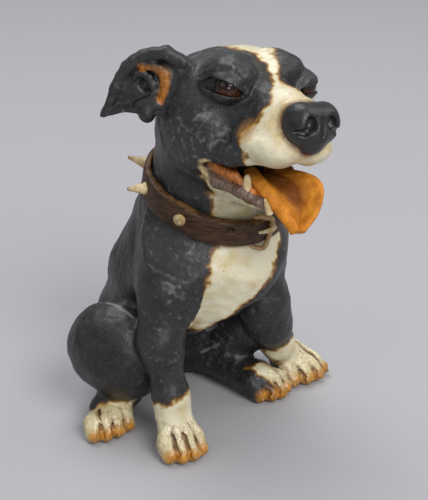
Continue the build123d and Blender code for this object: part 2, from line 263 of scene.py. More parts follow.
def toe_stops(paw):
    """Root, knuckle and tip of each toe of a paw, the way ahead and the way to its side."""
    heel = spot(*paw["heel"], 0)
    reach = spot(*paw["tip"], 0) - heel
    length = float(np.linalg.norm(reach))
    ahead = reach / length
    across = spot(-ahead[1], ahead[0], 0)
    stops = []
    for number in range(toe_count):
        side = number - (toe_count - 1) / 2
        share = outer_toe_share if abs(side) > 1 else 1.0
        tip_at = length * share * (1 - paw["slant"] * side) - toe_radius
        beside = across * side * paw["width"]
        root = heel + ahead * length * root_along + beside * root_spread + spot(0, 0, paw["rise"])
        knuckle = heel + ahead * tip_at * knuckle_along + beside * knuckle_spread + spot(0, 0, knuckle_rise)
        tip = heel + ahead * tip_at + beside * tip_spread + spot(0, 0, toe_radius - sole_sink)
        stops.append((root, knuckle, tip, ahead, across * side))
    return stops


def toe_grooves(p, paw):
    """The cuts between neighbouring toes, from the instep to the ground."""
    stops = toe_stops(paw)
    ahead = stops[0][3]
    cuts = []
    for one, other in zip(stops, stops[1:]):
        path = []
        for number, further, higher, radius in groove_stops:
            between = (one[number] + other[number]) / 2
            path.append((*(between + ahead * further + spot(0, 0, higher)), radius))
        cuts.append(roll(p, path, paw_soft["groove"]))
    return np.min(cuts, 0)


def paw_clay(p, paw):
    heel = spot(*paw["heel"], 0)
    ahead = toe_stops(paw)[0][3]
    pad_back = heel + spot(0, 0, pad_back_rise)
    pad_front = heel + ahead * pad_reach + spot(0, 0, pad_front_rise)
    pad = rod(p, pad_back, pad_front, pad_back_radius, pad_front_radius)
    toes = []
    for root, knuckle, tip, _, _ in toe_stops(paw):
        upper = rod(p, root, knuckle, toe_root_radius, knuckle_radius)
        toes.append(melt(paw_soft["toe_bend"], upper, rod(p, knuckle, tip, knuckle_radius, toe_radius)))
    clay = melt(paw_soft["pad"], pad, melt(paw_soft["toes"], *toes))
    return scoop(clay, toe_grooves(p, paw), paw_soft["groove"])


body_forms = {
    "torso": torso_clay,
    "right_foreleg": right_foreleg_clay,
    "left_foreleg": left_foreleg_clay,
    "right_hind_leg": right_hind_clay,
    "left_hind_leg": left_hind_clay,
    "tail": tail_clay,
}
for paw_name, paw in paws.items():
    body_forms[paw_name] = lambda p, paw=paw: paw_clay(p, paw)
print("body forms:", len(body_forms), "toes:", toe_count * len(paws))

# %% [markdown]
# The head is turned and tilted. The two eyes lie level on it, so the line between the eyes' boxes gives
# both angles, and the head's own axes follow from them: x to the dog's left, y backwards, z up. The angles
# could be typed in, but then a change to the frame would leave the head behind.

# %% Head axes from the eyes
eye_ahead = 31.5
eye_rise = 8.5
right_eye_at = node_middle("right_eye")
left_eye_at = node_middle("left_eye")
eye_line = unit(left_eye_at - right_eye_at)
head_turn = math.degrees(math.atan2(eye_line[1], eye_line[0]))
head_tilt = math.degrees(math.asin(-eye_line[2]))
cos_tilt, sin_tilt = math.cos(math.radians(head_tilt)), math.sin(math.radians(head_tilt))
tilt = np.array([[cos_tilt, 0, sin_tilt], [0, 1, 0], [-sin_tilt, 0, cos_tilt]], np.float32)
head_axes = (turn_about_z(head_turn) @ tilt).astype(np.float32)
head_middle = (right_eye_at + left_eye_at) / 2 - head_axes @ spot(0, -eye_ahead, eye_rise)
print("head turned", round(head_turn, 1), "tilted", round(head_tilt, 1), "at", head_middle.round(1))


def to_head(points):
    return ((points - head_middle) @ head_axes).astype(np.float32)


def from_head(points):
    return (np.asarray(points, np.float32) @ head_axes.T + head_middle).astype(np.float32)


left_half_share = 0.95
other_side = spot(-1, 1, 1)


def both_sides(points):
    """Folds one half over the other, so that one form makes a pair; the left half is a little wider."""
    folded = points.copy()
    folded[:, 0] = np.where(points[:, 0] > 0, points[:, 0] * left_half_share, -points[:, 0])
    return folded


# %% [markdown]
# The head is a skull with cheeks and brows, a muzzle with hanging lips, and round lids with an almond slit.
# Its halves are nearly alike, so most forms are written once, on folded points in the head's own axes.
# The mouth is scooped out, as a modelling tool would do it.

# %% Head forms
head_soft = {"face": 10, "neck": 14, "furrow": 8, "lid": 3, "slit": 1.2, "mouth": 3, "crease": 2, "lip": 4,
             "nose": 4, "nostril": 2.5, "jaw": 8, "gum": 1.5, "jaw_lip": 3, "coil": 2}
head_neck_radius = 47
slit_along = unit(spot(0.495, 0.868, 0.03))
slit_out = spot(0.862, -0.495, 0.1)
slit_out = unit(slit_out - slit_along * (slit_out @ slit_along))
slit_axes = np.stack([slit_along, np.cross(slit_out, slit_along), slit_out], 1).astype(np.float32)
slit_middle = spot(31, -26, 5)
slit_half_length, slit_over, slit_under = 17.5, 9, 1.6
lid_fold = [(39, -18, 16.5, 1), (35.3, -28, 21.7, 1.5), (31, -33.6, 22, 1.7), (27.3, -36.7, 20.6, 1.7),
            (23.8, -39.3, 16.6, 1.6), (20.6, -39, 11.5, 1.4), (21.2, -40, 6, 1)]
upper_lip = [(34.5, -13, -39, 3.5), (31, -27, -37, 6.5), (27.5, -41, -35, 7.5), (24, -53, -32.5, 6.5)]
mouth_corner = [(34, -11, -48, 1.4), (31.5, -22, -47, 2.6), (26, -40, -46, 4.5)]
lower_lip = [(31, -13, -47, 2.4), (31, -20, -53, 3), (29.5, -30, -57, 3.7), (22, -48, -59, 3.7),
             (14.5, -58, -64, 3), (4, -63, -69, 2.4)]
lower_gum = [(28, -20, -48, 2.6), (22.5, -40, -50.5, 3.4), (15.5, -53, -58, 2.8)]
nostril_tail = [(9, -96, -3, 2.8), (12.5, -94, -6.3, 2.2), (17, -89.5, -6.8, 1.2)]
score_depth, score_pace, score_rise, score_reach = 0.3, 2.1, -58, 2.5


def coil(points, stops):
    return roll(points, stops, head_soft["coil"])


def almond(m):
    """The slit between the lids: a high arch over a flat one."""
    slit = (m - slit_middle) @ slit_axes
    high_arc = (slit_half_length ** 2 + slit_over ** 2) / (2 * slit_over)
    low_arc = (slit_half_length ** 2 + slit_under ** 2) / (2 * slit_under)
    over = np.sqrt(slit[:, 0] ** 2 + (slit[:, 1] + high_arc - slit_over) ** 2) - high_arc
    under = np.sqrt(slit[:, 0] ** 2 + (slit[:, 1] - low_arc + slit_under) ** 2) - low_arc
    return np.maximum(np.maximum(over, under), 1 - slit[:, 2])


def palate(m):
    return egg(m, (0, -50, -44), (17, 30, 12))


def head_clay(p):
    q = to_head(p)
    m = both_sides(q)
    skull = egg(q, (0, 7, -10), (47, 46, 36))
    crown = egg(q, (13, -3, 7), (27, 22, 20.5))
    cheek = egg(m, (28, 4, -28), (22, 34, 32))
    right_brow = egg(q, (-21.5, -22, 16), (18, 18, 13.5))
    left_brow = egg(q, (20, -19, 16.5), (17, 18, 13))
    clay = melt(head_soft["face"], skull, cheek, crown, right_brow, left_brow)
    muzzle = rod(q, (0, -34, -14), (0, -68, -12), 26, 21)
    flew = egg(m, (15, -57, -24), (17, 27, 13.5))
    bridge = rod(q, (0, -30, 2), (0, -76, -4), 15, 12)
    clay = melt(head_soft["face"], clay, muzzle, flew, bridge)
    clay = melt(head_soft["neck"], clay, neck_clay(p, head_neck_radius))
    furrow = rod(q, (1, -44, 22), (2, -8, 38), 4.5, 5)
    clay = scoop(clay, furrow, head_soft["furrow"])
    round_lid = egg(m, (30.5, -30.5, 8.4), (11.6, 11.6, 11.6))
    long_lid = egg(m, (31, -26, 6), (17, 8, 7.5), slit_axes)
    lid = melt(head_soft["lid"], round_lid, long_lid)
    clay = melt(head_soft["lid"], clay, lid, coil(q * other_side, lid_fold))
    clay = scoop(clay, almond(m), head_soft["slit"])
    clay = scoop(clay, palate(m), head_soft["mouth"])
    clay = scoop(clay, coil(m, mouth_corner), head_soft["crease"])
    return melt(head_soft["lip"], clay, coil(m, upper_lip))


# %% [markdown]
# The nose is pressed on last and has two pricked nostrils. The lower jaw is a shallow trough, with two
# coils along its rim for gum and lip, and the lip is scored across.

# %% Nose and jaw forms
def nose_clay(p):
    q = to_head(p)
    m = both_sides(q)
    pad = egg(q, (0, -84, -5), (16, 13, 15.5))
    wing = egg(m, (9.6, -83, -3), (9.8, 13, 13.5))
    foot = rod(q, (0, -88, -9), (0, -86, -15), 9.5, 8.5)
    parting = rod(m, (0, -97, 2), (0, -98, -8), 1.6, 1.2)
    nostril = egg(m, (8.2, -95.5, -0.5), (4, 6, 4.8))
    clay = melt(head_soft["nose"], pad, wing, foot)
    clay = scoop(clay, parting, head_soft["nostril"])
    clay = scoop(clay, nostril, head_soft["nostril"])
    return scoop(clay, coil(m, nostril_tail), head_soft["crease"])


def jaw_clay(p):
    q = to_head(p)
    m = both_sides(q)
    back = egg(q, (0, -16, -59), (28, 30, 15))
    chin = egg(q, (0, -41, -63), (20, 25, 10))
    bed = egg(q, (2, -48, -51), (17, 36, 12))
    clay = scoop(melt(head_soft["jaw"], back, chin), bed, head_soft["mouth"])
    on_lip = np.clip(score_reach - np.abs(m[:, 2] - score_rise), 0, 1)
    scored_lip = coil(m, lower_lip) + score_depth * np.sin(m[:, 1] * score_pace) * on_lip
    return melt(head_soft["jaw_lip"], melt(head_soft["gum"], clay, coil(m, lower_gum)), scored_lip)


# %% [markdown]
# An ear is a cupped sheet with a rolled rim, a fold, a ridge and a lobe. Its outline and its coils are
# drawn flat, as on a slab of clay, in a plane that sweeps back from the head, and the sheet bends off that
# plane. The left ear is the right one, mirrored and laid further back.

# %% Ear forms
ear_root = spot(-40, 10, -4)
ear_sweep = math.radians(42.3)
left_ear_lay = 28
left_ear_drop = 8
ear_middle, ear_reach, ear_skip = (24, 2, 0), 46, 6
ear_half_wall, ear_rounding = 3.2, 2
cup_depth, cup_width, cup_floor = 4.5, 5.5, 3
curl, curl_from = 0.0024, 10
rim_proud, rim_curl, fold_proud, ridge_proud = 1.2, 0.002, 2.4, 1.2
ear_soft = {"rim_coil": 3, "rim": 2.5, "pit": 2, "folds": 1.4, "lobe": 3, "root": 6}
ear_rim = [(0, 20, 4.5), (12, 25, 4.8), (20, 22.5, 4.4), (27, 19.6, 4.3), (33, 15.8, 4.2), (38, 11, 4),
           (42, 4, 3.8), (44.6, -4, 3.6), (47, -14, 3.2), (51.6, -24.2, 1.9)]
ear_edge = [(-8, 20), (0, 24), (12, 29), (20, 26.5), (27, 23.5), (33, 19.5), (38, 15), (43, 8),
            (46.3, 1.5), (48.3, -6.5), (50.3, -15.5), (53.2, -25.5), (45.6, -23.6), (36, -20.4),
            (27.8, -18.5), (20, -18), (-8, -18)]
ear_fold = [(27, 13.3, 2.4), (20, 15.5, 2.7), (14.8, 14, 2.9), (10.8, 9.8, 2.9), (9.6, 3.7, 2.9),
            (9.8, -2.7, 2.8), (12.1, -8, 2.4)]
ear_ridge = [(32.6, 3.2, 1.9), (30.3, 7.7, 2.2), (26.5, 8.8, 2.3), (21.8, 6.3, 2.5), (18.4, 1.4, 2.8),
             (16.6, -3.2, 2.8), (18, -7.6, 2.8), (24.4, -10.7, 2.4), (28.3, -13.3, 2.2)]


def edge_distance(flat, corners):
    """Signed distance in a plane to a closed outline."""
    nearest = np.full(len(flat), 1e9, np.float32)
    inside = np.zeros(len(flat), bool)
    for a, b in zip(corners, corners[1:] + corners[:1]):
        a, b = spot(*a), spot(*b)
        side = b - a
        away = flat - a
        share = np.clip(away @ side / (side @ side), 0, 1)
        nearest = np.minimum(nearest, ((away - share[:, None] * side) ** 2).sum(-1))
        crosses = (flat[:, 1] >= a[1]) != (flat[:, 1] >= b[1])
        rise = side[1] if side[1] else 1e-6
        inside ^= crosses & (flat[:, 0] < a[0] + (flat[:, 1] - a[1]) / rise * side[0])
    return np.where(inside, -1, 1) * np.sqrt(nearest)


def ear_plane(p, mirrored):
    """Points seen from an ear: out along it, up, and off its hollow face."""
    q = to_head(p)
    if mirrored:
        q = (q @ turn_about_z(left_ear_lay)) * other_side
    out = spot(-math.cos(ear_sweep), math.sin(ear_sweep), 0)
    face = spot(-math.sin(ear_sweep), -math.cos(ear_sweep), 0)
    away = q - ear_root + spot(0, 0, left_ear_drop if mirrored else 0)
    return np.stack([away @ out, away[:, 2], away @ face], 1)


def ear_coil(flat, stops, proud):
    """A coil on the ear's hollow face, through stops of (out, up, radius)."""
    return coil(flat, [(out, up, proud, radius) for out, up, radius in stops])


def ear_clay(p, mirrored):
    """A folded ear: a cupped flap with a rolled rim, an inner fold and a lobe."""
    flat_all = ear_plane(p, mirrored)
    gap = np.sqrt(((flat_all - spot(*ear_middle)) ** 2).sum(-1)) - ear_reach
    distance = np.maximum(gap, ear_skip).astype(np.float32)
    near = gap < ear_skip
    flat = flat_all[near]
    edge = edge_distance(flat[:, :2], ear_edge)
    cup = cup_depth * np.exp(-(np.maximum(-edge, 0) / cup_width) ** 2) - cup_floor
    bend = cup - curl * (flat[:, 0] - curl_from) ** 2
    a, b = edge + ear_rounding, np.abs(flat[:, 2] - bend) - ear_half_wall + ear_rounding
    corner = np.sqrt(np.maximum(a, 0) ** 2 + np.maximum(b, 0) ** 2)
    sheet = np.minimum(np.maximum(a, b), 0) + corner - ear_rounding
    rim_stops = [(out, up, rim_proud - rim_curl * out * out, radius) for out, up, radius in ear_rim]
    clay = melt(ear_soft["rim"], sheet, roll(flat, rim_stops, ear_soft["rim_coil"]))
    clay = scoop(clay, egg(flat, (24, 1.2, 1.5), (5, 5.5, 5.5)), ear_soft["pit"])
    fold = ear_coil(flat, ear_fold, fold_proud)
    ridge = ear_coil(flat, ear_ridge, ridge_proud)
    low_lobe = egg(flat, (20.5, -17, 1.5), (6, 8, 5.5))
    lobe = melt(ear_soft["lobe"], low_lobe, egg(flat, (16, -11, 2), (7, 5, 5)))
    clay = melt(ear_soft["folds"], clay, fold, ridge, lobe)
    root = egg(flat, (2, 2, -6), (13, 21, 10))
    distance[near] = melt(ear_soft["root"], clay, root)
    return distance


head_forms = {
    "head": head_clay,
    "nose": nose_clay,
    "lower_jaw": jaw_clay,
    "right_ear": lambda p: ear_clay(p, False),
    "left_ear": lambda p: ear_clay(p, True),
}
print("head forms:", len(head_forms))

# %% [markdown]
# Both skins end at the neck joint, a leaning plane that the collar's strap covers. Its middle is that of the
# strap's box. The forms of a skin melt together, softly at the shoulders and sharply at the elbows, so that
# the forelegs stand off the belly. Each piece could be a mesh of its own, but then its joins would show.

# %% One skin for the body, one for the head
strap_low, strap_high = node_box("collar_strap")
neck_middle = (strap_low + strap_high) / 2
neck_lean = math.radians(17)
neck_up = spot(0, -math.sin(neck_lean), math.cos(neck_lean))
neck_across = spot(1, 0, 0)
neck_ahead = np.cross(neck_up, neck_across)
neck_half_width, neck_half_depth = 47, 52
strap_width = 21
skin_lap = 3
groove_flare, groove_soft, groove_reach = 1.3, 2, 20
limbs = {"right_foreleg": "right_forepaw", "left_foreleg": "left_forepaw",
         "right_hind_leg": "right_hind_paw", "left_hind_leg": "left_hind_paw"}
ankle_soft, haunch_soft, tail_join_soft = 8, 9, 8
elbow_soft, shoulder_soft, shoulder_low, shoulder_span = 2.5, 12, 85, 35
# Finger marks: the size and depth of their waves.
body_lumps, body_dents, paw_dents = (34, 0.45), (13, 0.16), (7, 0.2)
paw_top, paw_span = 28, 12
head_lumps, head_dents = (26, 0.45), (9, 0.1)
ear_join_soft, jaw_join_soft, nose_join_soft = 5, 3, 1.2


def strap_groove(p):
    """The space that the collar takes round the neck."""
    away = p - neck_middle
    flat = np.stack([away @ neck_across, away @ neck_ahead], 1)
    inside = egg(flat, (0, 0), (neck_half_width, neck_half_depth))
    flare = groove_flare * np.clip(inside, 0, groove_reach)
    return np.maximum(np.abs(away @ neck_up) - strap_width / 2 - flare, -inside)


def body_skin(p):
    limb = {leg: melt(ankle_soft, body_forms[leg](p), body_forms[paw](p)) for leg, paw in limbs.items()}
    clay = melt(haunch_soft, torso_clay(p), limb["right_hind_leg"], limb["left_hind_leg"])
    clay = melt(tail_join_soft, clay, tail_clay(p))
    high = np.clip((p[:, 2] - shoulder_low) / shoulder_span, 0, 1)
    clay = melt(elbow_soft + shoulder_soft * high, clay, limb["right_foreleg"], limb["left_foreleg"])
    low = np.clip((paw_top - p[:, 2]) / paw_span, 0, 1)
    clay = clay + lumps(p, *body_lumps) + lumps(p, *body_dents) + low * lumps(p, *paw_dents)
    clay = scoop(clay, strap_groove(p), groove_soft)
    clay = np.maximum(clay, (p - neck_middle) @ neck_up - skin_lap)
    return np.maximum(clay, -p[:, 2])


def head_skin(p):
    clay = melt(ear_join_soft, head_clay(p), head_forms["right_ear"](p), head_forms["left_ear"](p))
    clay = melt(jaw_join_soft, clay, jaw_clay(p))
    clay = clay + lumps(p, *head_lumps) + lumps(p, *head_dents)
    clay = scoop(clay, strap_groove(p), groove_soft)
    clay = melt(nose_join_soft, clay, nose_clay(p))
    return np.maximum(clay, (neck_middle - p) @ neck_up - skin_lap)


# %% [markdown]
# A field is asked for many points at once, in parts that fit into memory. Its slope is measured with a
# small step to either side along each axis.

# %% Sample a field and its slope
sample_size = 300000


def sample(field, points):
    parts = np.array_split(points.astype(np.float32), len(points) // sample_size + 1)
    return np.concatenate([field(part) for part in parts])


def slope(field, points, step):
    columns = []
    for axis in range(3):
        shift = np.zeros(3, np.float32)
        shift[axis] = step
        columns.append((sample(field, points + shift) - sample(field, points - shift)) / (2 * step))
    return np.stack(columns, 1)


print("body skin at the collar's middle:", sample(body_skin, neck_middle[None]).round(1))

# %% [markdown]
# Surface nets turn a field into quads: each small cell that the surface passes through gets one vertex,
# and each crossed edge of the grid joins four of them. Only bricks of cells near the surface are looked
# at. The vertices then slide down the field's slope on to the surface, and the slope is their normal.

# %% Surface nets
brick = 8
brick_reach = 1.25
slide_rounds, slide_most = 2, 0.6
slope_step, normal_step, least_slope = 0.4, 0.6, 0.2


def nets(field, low, high, cell):
    """Vertices, quads and normals of the surface where a field is zero."""
    size = cell * brick
    shape = np.ceil((high - low) / size).astype(int)
    grid = np.stack(np.meshgrid(*[np.arange(n) for n in shape], indexing="ij"), -1).reshape(-1, 3)
    middles = low + (grid + 0.5) * size
    bricks = grid[np.abs(sample(field, middles)) < size * brick_reach]
    inner = np.stack(np.meshgrid(*[np.arange(brick + 1)] * 3, indexing="ij"), -1).reshape(-1, 3)
    corners = (bricks[:, None, :] * brick + inner[None]).reshape(-1, 3)
    values = sample(field, low + corners * cell).reshape(-1, brick + 1, brick + 1, brick + 1)
    offsets = np.array([(i, j, k) for i in (0, 1) for j in (0, 1) for k in (0, 1)])
    eight = [values[:, i:i + brick, j:j + brick, k:k + brick] for i, j, k in offsets]
    inside = sum((one < 0).astype(np.int8) for one in eight)
    active = (inside > 0) & (inside < 8)
    which = np.stack(np.nonzero(active), 1)
    cells = bricks[which[:, 0]] * brick + which[:, 1:]
    at = np.stack([one[active] for one in eight], 1)
    total, count = np.zeros((len(cells), 3)), np.zeros(len(cells))
    for p in range(8):
        for q in range(p + 1, 8):
            if abs(offsets[p] - offsets[q]).sum() != 1:
                continue
            cross = (at[:, p] < 0) != (at[:, q] < 0)
            share = np.where(cross, at[:, p] / np.where(cross, at[:, p] - at[:, q], 1), 0)
            total += cross[:, None] * (offsets[p] + share[:, None] * (offsets[q] - offsets[p]))
            count += cross
    vertices = (low + (cells + total / count[:, None]) * cell).astype(np.float32)
    span = shape * brick + 2
    keys = (cells[:, 0] * span[1] + cells[:, 1]) * span[2] + cells[:, 2]
    order = np.argsort(keys)
    ranked = keys[order]
    quads = []
    for axis in range(3):
        first, second = np.eye(3, dtype=int)[(axis + 1) % 3], np.eye(3, dtype=int)[(axis + 2) % 3]
        far = 4 >> axis
        cross = (at[:, 0] < 0) != (at[:, far] < 0)
        ring = []
        found = np.ones(cross.sum(), bool)
        for move in (np.zeros(3, int), first, first + second, second):
            near = cells[cross] - move
            key = (near[:, 0] * span[1] + near[:, 1]) * span[2] + near[:, 2]
            rank = np.clip(np.searchsorted(ranked, key), 0, len(ranked) - 1)
            found &= ranked[rank] == key
            ring.append(order[rank])
        ring = np.stack(ring, 1)
        ring = np.where((at[cross, 0] < 0)[:, None], ring, ring[:, ::-1])
        quads.append(ring[found])
    for _ in range(slide_rounds):
        hill = slope(field, vertices, cell * slope_step)
        steep = np.maximum((hill ** 2).sum(-1, keepdims=True), least_slope)
        fall = sample(field, vertices)[:, None] * hill / steep
        vertices = vertices - np.clip(fall, -cell * slide_most, cell * slide_most)
    hill = slope(field, vertices, cell * normal_step)
    normals = hill / np.maximum(np.linalg.norm(hill, axis=1, keepdims=True), 1e-6)
    return vertices, np.concatenate(quads), normals


def trial_ball(p):
    return egg(p, (0, 0, 0), (10, 10, 10))


ball_points, ball_quads, _ = nets(trial_ball, spot(-13, -13, -13), spot(13, 13, 13), 2.0)
print("trial ball of 10 mm:", len(ball_points), "vertices", len(ball_quads), "quads")

# %% [markdown]
# A skin is cut where the nearest form changes. Each piece is closed inside, by a short wall along the cut
# and a fan to its middle, so that it is a solid lump. Both sides of a cut keep the same points and
# normals, so no seam shows.

# %% Cut a skin into the frame's pieces
def nearest_form(forms, points):
    return np.argmin(np.stack([sample(form, points) for form in forms.values()]), 0)


def cut_loops(faces):
    """Directed border loops of a set of quads."""
    edges = np.concatenate([np.stack([faces[:, i], faces[:, (i + 1) % 4]], 1) for i in range(4)])
    size = int(edges.max()) + 1
    forward = (edges[:, 0] < edges[:, 1]).astype(int) * 2 - 1
    names, back = np.unique(edges.min(1) * size + edges.max(1), return_inverse=True)
    balance = np.bincount(back.ravel(), forward).astype(int)
    ways = {}
    for name, spare in zip(names[balance != 0].tolist(), balance[balance != 0].tolist()):
        a, b = divmod(name, size) if spare > 0 else divmod(name, size)[::-1]
        ways.setdefault(a, []).extend([b] * abs(spare))
    loops = []
    while ways:
        start = next(iter(ways))
        loop = [start]
        here = start
        while True:
            there = ways[here].pop()
            if not ways[here]:
                del ways[here]
            if there == start:
                break
            loop.append(there)
            here = there
        loops.append(loop)
    return loops


def closed_piece(vertices, normals, faces, depth):
    """The piece's own vertices, normals and faces, with its cuts closed."""
    used, faces = np.unique(faces, return_inverse=True)
    faces = faces.reshape(-1, 4)
    points, aims = [vertices[used]], [normals[used]]
    polygons = faces.tolist()
    total = len(used)
    for loop in cut_loops(faces):
        rim = np.array(loop)
        sunk = points[0][rim] - aims[0][rim] * depth
        middle = (points[0][rim] - aims[0][rim] * depth * 2).mean(0)
        points += [sunk, middle[None]]
        aims += [aims[0][rim], aims[0][rim].mean(0)[None]]
        hub = total + len(rim)
        for i in range(len(rim)):
            j = (i + 1) % len(rim)
            polygons.append([int(rim[j]), int(rim[i]), total + i, total + j])
            polygons.append([total + j, total + i, hub])
        total += len(rim) + 1
    return np.concatenate(points), np.concatenate(aims), polygons


print("borders of the whole trial ball:", len(cut_loops(ball_quads)))
print("borders of a part of it:", len(cut_loops(ball_quads[ball_points[ball_quads].mean(1)[:, 2] > 0])))

# %% [markdown]
# Each cut piece becomes an object at the origin. The field's slope is set as its normals, because normals
# made from the faces alone would show each cut as a crease.

# %% Make the two skins
def place_in_scene(name, data):
    made = bpy.data.objects.new(name, data)
    bpy.context.scene.collection.objects.link(made)
    return made


def mesh_object(name, points, polygons, aims=None):
    """An object at the origin, its mesh in metres."""
    mesh = bpy.data.meshes.new(name)
    mesh.from_pydata((points * MM).tolist(), [], polygons)
    mesh.polygons.foreach_set("use_smooth", [True] * len(mesh.polygons))
    mesh.update()
    if aims is not None:
        mesh.normals_split_custom_set_from_vertices(aims.tolist())
    return place_in_scene(name, mesh)


def mark(piece, name, values):
    """Stores one number or one colour per vertex."""
    values = values.astype(np.float32)
    if values.ndim == 1:
        piece.data.attributes.new(name, "FLOAT", "POINT").data.foreach_set("value", values)
    else:
        colours = piece.data.attributes.new(name, "FLOAT_COLOR", "POINT").data
        colours.foreach_set("color", values.ravel())


def cut_skin(field, forms, cell, margin, depth):
    boxes = [node_box(name) for name in forms]
    low = np.min([box[0] for box in boxes], 0) - margin
    high = np.max([box[1] for box in boxes], 0) + margin
    vertices, quads, normals = nets(field, low, high, cell)
    group = nearest_form(forms, vertices[quads].mean(1))
    made = {}
    for number, name in enumerate(forms):
        points, aims, polygons = closed_piece(vertices, normals, quads[group == number], depth)
        made[name] = mesh_object(name + "_clay", points, polygons, aims)
        print(name, "faces", len(polygons))
    return made


body_cell = 1.25
head_cell = 0.95
skin_margin = 12
body_wall, head_wall = 3, 2
pieces = cut_skin(body_skin, body_forms, body_cell, skin_margin, body_wall)
pieces.update(cut_skin(head_skin, head_forms, head_cell, skin_margin, head_wall))

# %% [markdown]
# The small pieces are lofted: rings of points along a smooth line are joined into a closed mesh. A curve
# object with a bevel would do for the teeth and the buckle, but not for the tongue and the strap.

# %% Lofting
def smooth_line(stops, count):
    """Points on a smooth line through the stops."""
    stops = np.asarray(stops, float)
    if stops.ndim == 1:
        stops = stops[:, None]
    ends = np.concatenate([[2 * stops[0] - stops[1]], stops, [2 * stops[-1] - stops[-2]]])
    along = np.linspace(0, len(stops) - 1 - 1e-6, count)
    first = along.astype(int)
    t = (along - first)[:, None]
    a, b, c, d = (ends[first + i] for i in range(4))
    curve = 2 * b + (c - a) * t + (2 * a - 5 * b + 4 * c - d) * t ** 2
    return 0.5 * (curve + (3 * b - a - 3 * c + d) * t ** 3)


def ring_loft(rings, closed=False):
    """Closed mesh through rings of points, joined in a circle or with a fan at each end."""
    rows, columns = rings.shape[:2]
    points = rings.reshape(-1, 3)
    polygons = []
    for r in range(rows if closed else rows - 1):
        s = (r + 1) % rows
        for c in range(columns):
            d = (c + 1) % columns
            polygons.append([r * columns + c, r * columns + d, s * columns + d, s * columns + c])
    if closed:
        return points, polygons
    points = np.concatenate([points, rings[0].mean(0)[None], rings[-1].mean(0)[None]])
    last = (rows - 1) * columns
    for c in range(columns):
        d = (c + 1) % columns
        polygons.append([d, c, rows * columns])
        polygons.append([last + c, last + d, rows * columns + 1])
    return points, polygons


def round_rings(line, radius, columns, facing, closed=False):
    """Rings round a line; facing is a direction that the line never takes."""
    line = np.asarray(line, float)
    flow = np.roll(line, -1, 0) - np.roll(line, 1, 0) if closed else np.gradient(line, axis=0)
    flow = unit(flow)
    side = unit(np.cross(flow, facing))
    front = np.cross(side, flow)
    angle = np.linspace(0, 2 * math.pi, columns, endpoint=False)[None, :, None]
    ring = side[:, None] * np.cos(angle) + front[:, None] * np.sin(angle)
    return line[:, None] + np.asarray(radius, float)[:, None, None] * ring


def outward(made):
    """Turns a closed mesh's faces to the outside."""
    shell = bmesh.new()
    shell.from_mesh(made.data)
    bmesh.ops.recalc_face_normals(shell, faces=shell.faces)
    shell.to_mesh(made.data)
    shell.free()
    return made


print("points on a line through 3 stops:", len(smooth_line([0, 1, 3], 5)))

# %% [markdown]
# The tongue lies in the jaw and hangs over it to the dog's left, like a spoon with a thick near edge. It
# is lofted between two lines from root to tip, its near and its far edge. Each cross section dips between
# them and is given a thickness that rounds off at the sides.

# %% Tongue
tongue_near = [(-12, -36, -48), (-14.5, -47, -50.5), (-13, -58, -57), (-8, -67, -65.5), (-2, -75, -74),
               (2, -79.5, -79.5)]
tongue_far = [(18, -42, -47), (23, -58, -45), (25, -72, -46.5), (23.5, -80, -54), (17, -84, -65.5),
              (8, -83.5, -77)]
tongue_dip = [6, 8.5, 9, 9, 7.5, 3]
tongue_half_thick = [3.6, 3.4, 3.2, 3.1, 3.0, 2.6]
tongue_rows, tongue_columns = 44, 34
dip_power, side_power = 1.7, 5
near_edge_proud, near_edge_at, near_edge_width = 0.8, -0.76, 0.22
grain_depth, grain_pace, grain_sway, sway_rows = 0.25, 19, 3, 0.35
# Painted shadow on the tongue: where it is strongest across the dip, and its strength at root and tip.
hollow_at, hollow_width, hollow_root, hollow_tip = 0.02, 0.5, 2.2, 0.1


def lofted_tongue(rows, columns):
    near, far = smooth_line(tongue_near, rows), smooth_line(tongue_far, rows)
    dip, thick = smooth_line(tongue_dip, rows), smooth_line(tongue_half_thick, rows)
    side = np.linspace(-1, 1, columns)[None, :, None]
    middle = (near + far) / 2
    down = unit(np.cross(np.gradient(middle, axis=0), far - near))
    down = np.where((down[:, 2] < 0)[:, None], down, -down)
    sheet = middle[:, None] + (far - near)[:, None] / 2 * side
    sheet = sheet + (down * dip)[:, None] * (1 - np.abs(side) ** dip_power)
    face = unit(np.cross(np.gradient(sheet, axis=0), np.gradient(sheet, axis=1)))
    face = np.where((face * down[:, None]).sum(-1, keepdims=True) > 0, -face, face)
    sway = grain_sway * np.sin(np.arange(rows) * sway_rows)[:, None, None]
    grain = grain_depth * np.sin(side * grain_pace + sway) * (1 - side ** 2)
    near_edge = 1 + near_edge_proud * np.exp(-((side - near_edge_at) / near_edge_width) ** 2)
    wall = thick[:, None] * near_edge * np.sqrt(1 - np.abs(side) ** side_power)
    top, under = sheet + face * (wall + grain), sheet - face * wall
    return np.concatenate([top, under[:, -2:0:-1]], 1)


tongue_points, tongue_faces = ring_loft(lofted_tongue(tongue_rows, tongue_columns))
pieces["tongue"] = outward(mesh_object("tongue_clay", from_head(tongue_points), tongue_faces))
# The tongue's hollow mark is painted shadow, strongest in the dip and towards the root, under the muzzle.
tongue_side = np.linspace(-1, 1, tongue_columns)
tongue_top = np.exp(-((tongue_side - hollow_at) / hollow_width) ** 2)
tongue_hollow = np.concatenate([tongue_top, np.zeros(tongue_columns - 2)])
tongue_inside = np.linspace(hollow_root, hollow_tip, tongue_rows)
mark(pieces["tongue"], "hollow", np.append(np.outer(tongue_inside, tongue_hollow), (0, 0)))
print("tongue faces", len(tongue_faces))

# %% [markdown]
# Two teeth show on the dog's right, a canine and a smaller one in front. Each follows a bent line, thick at
# its root and rounded at its tip, so it is lofted as well.

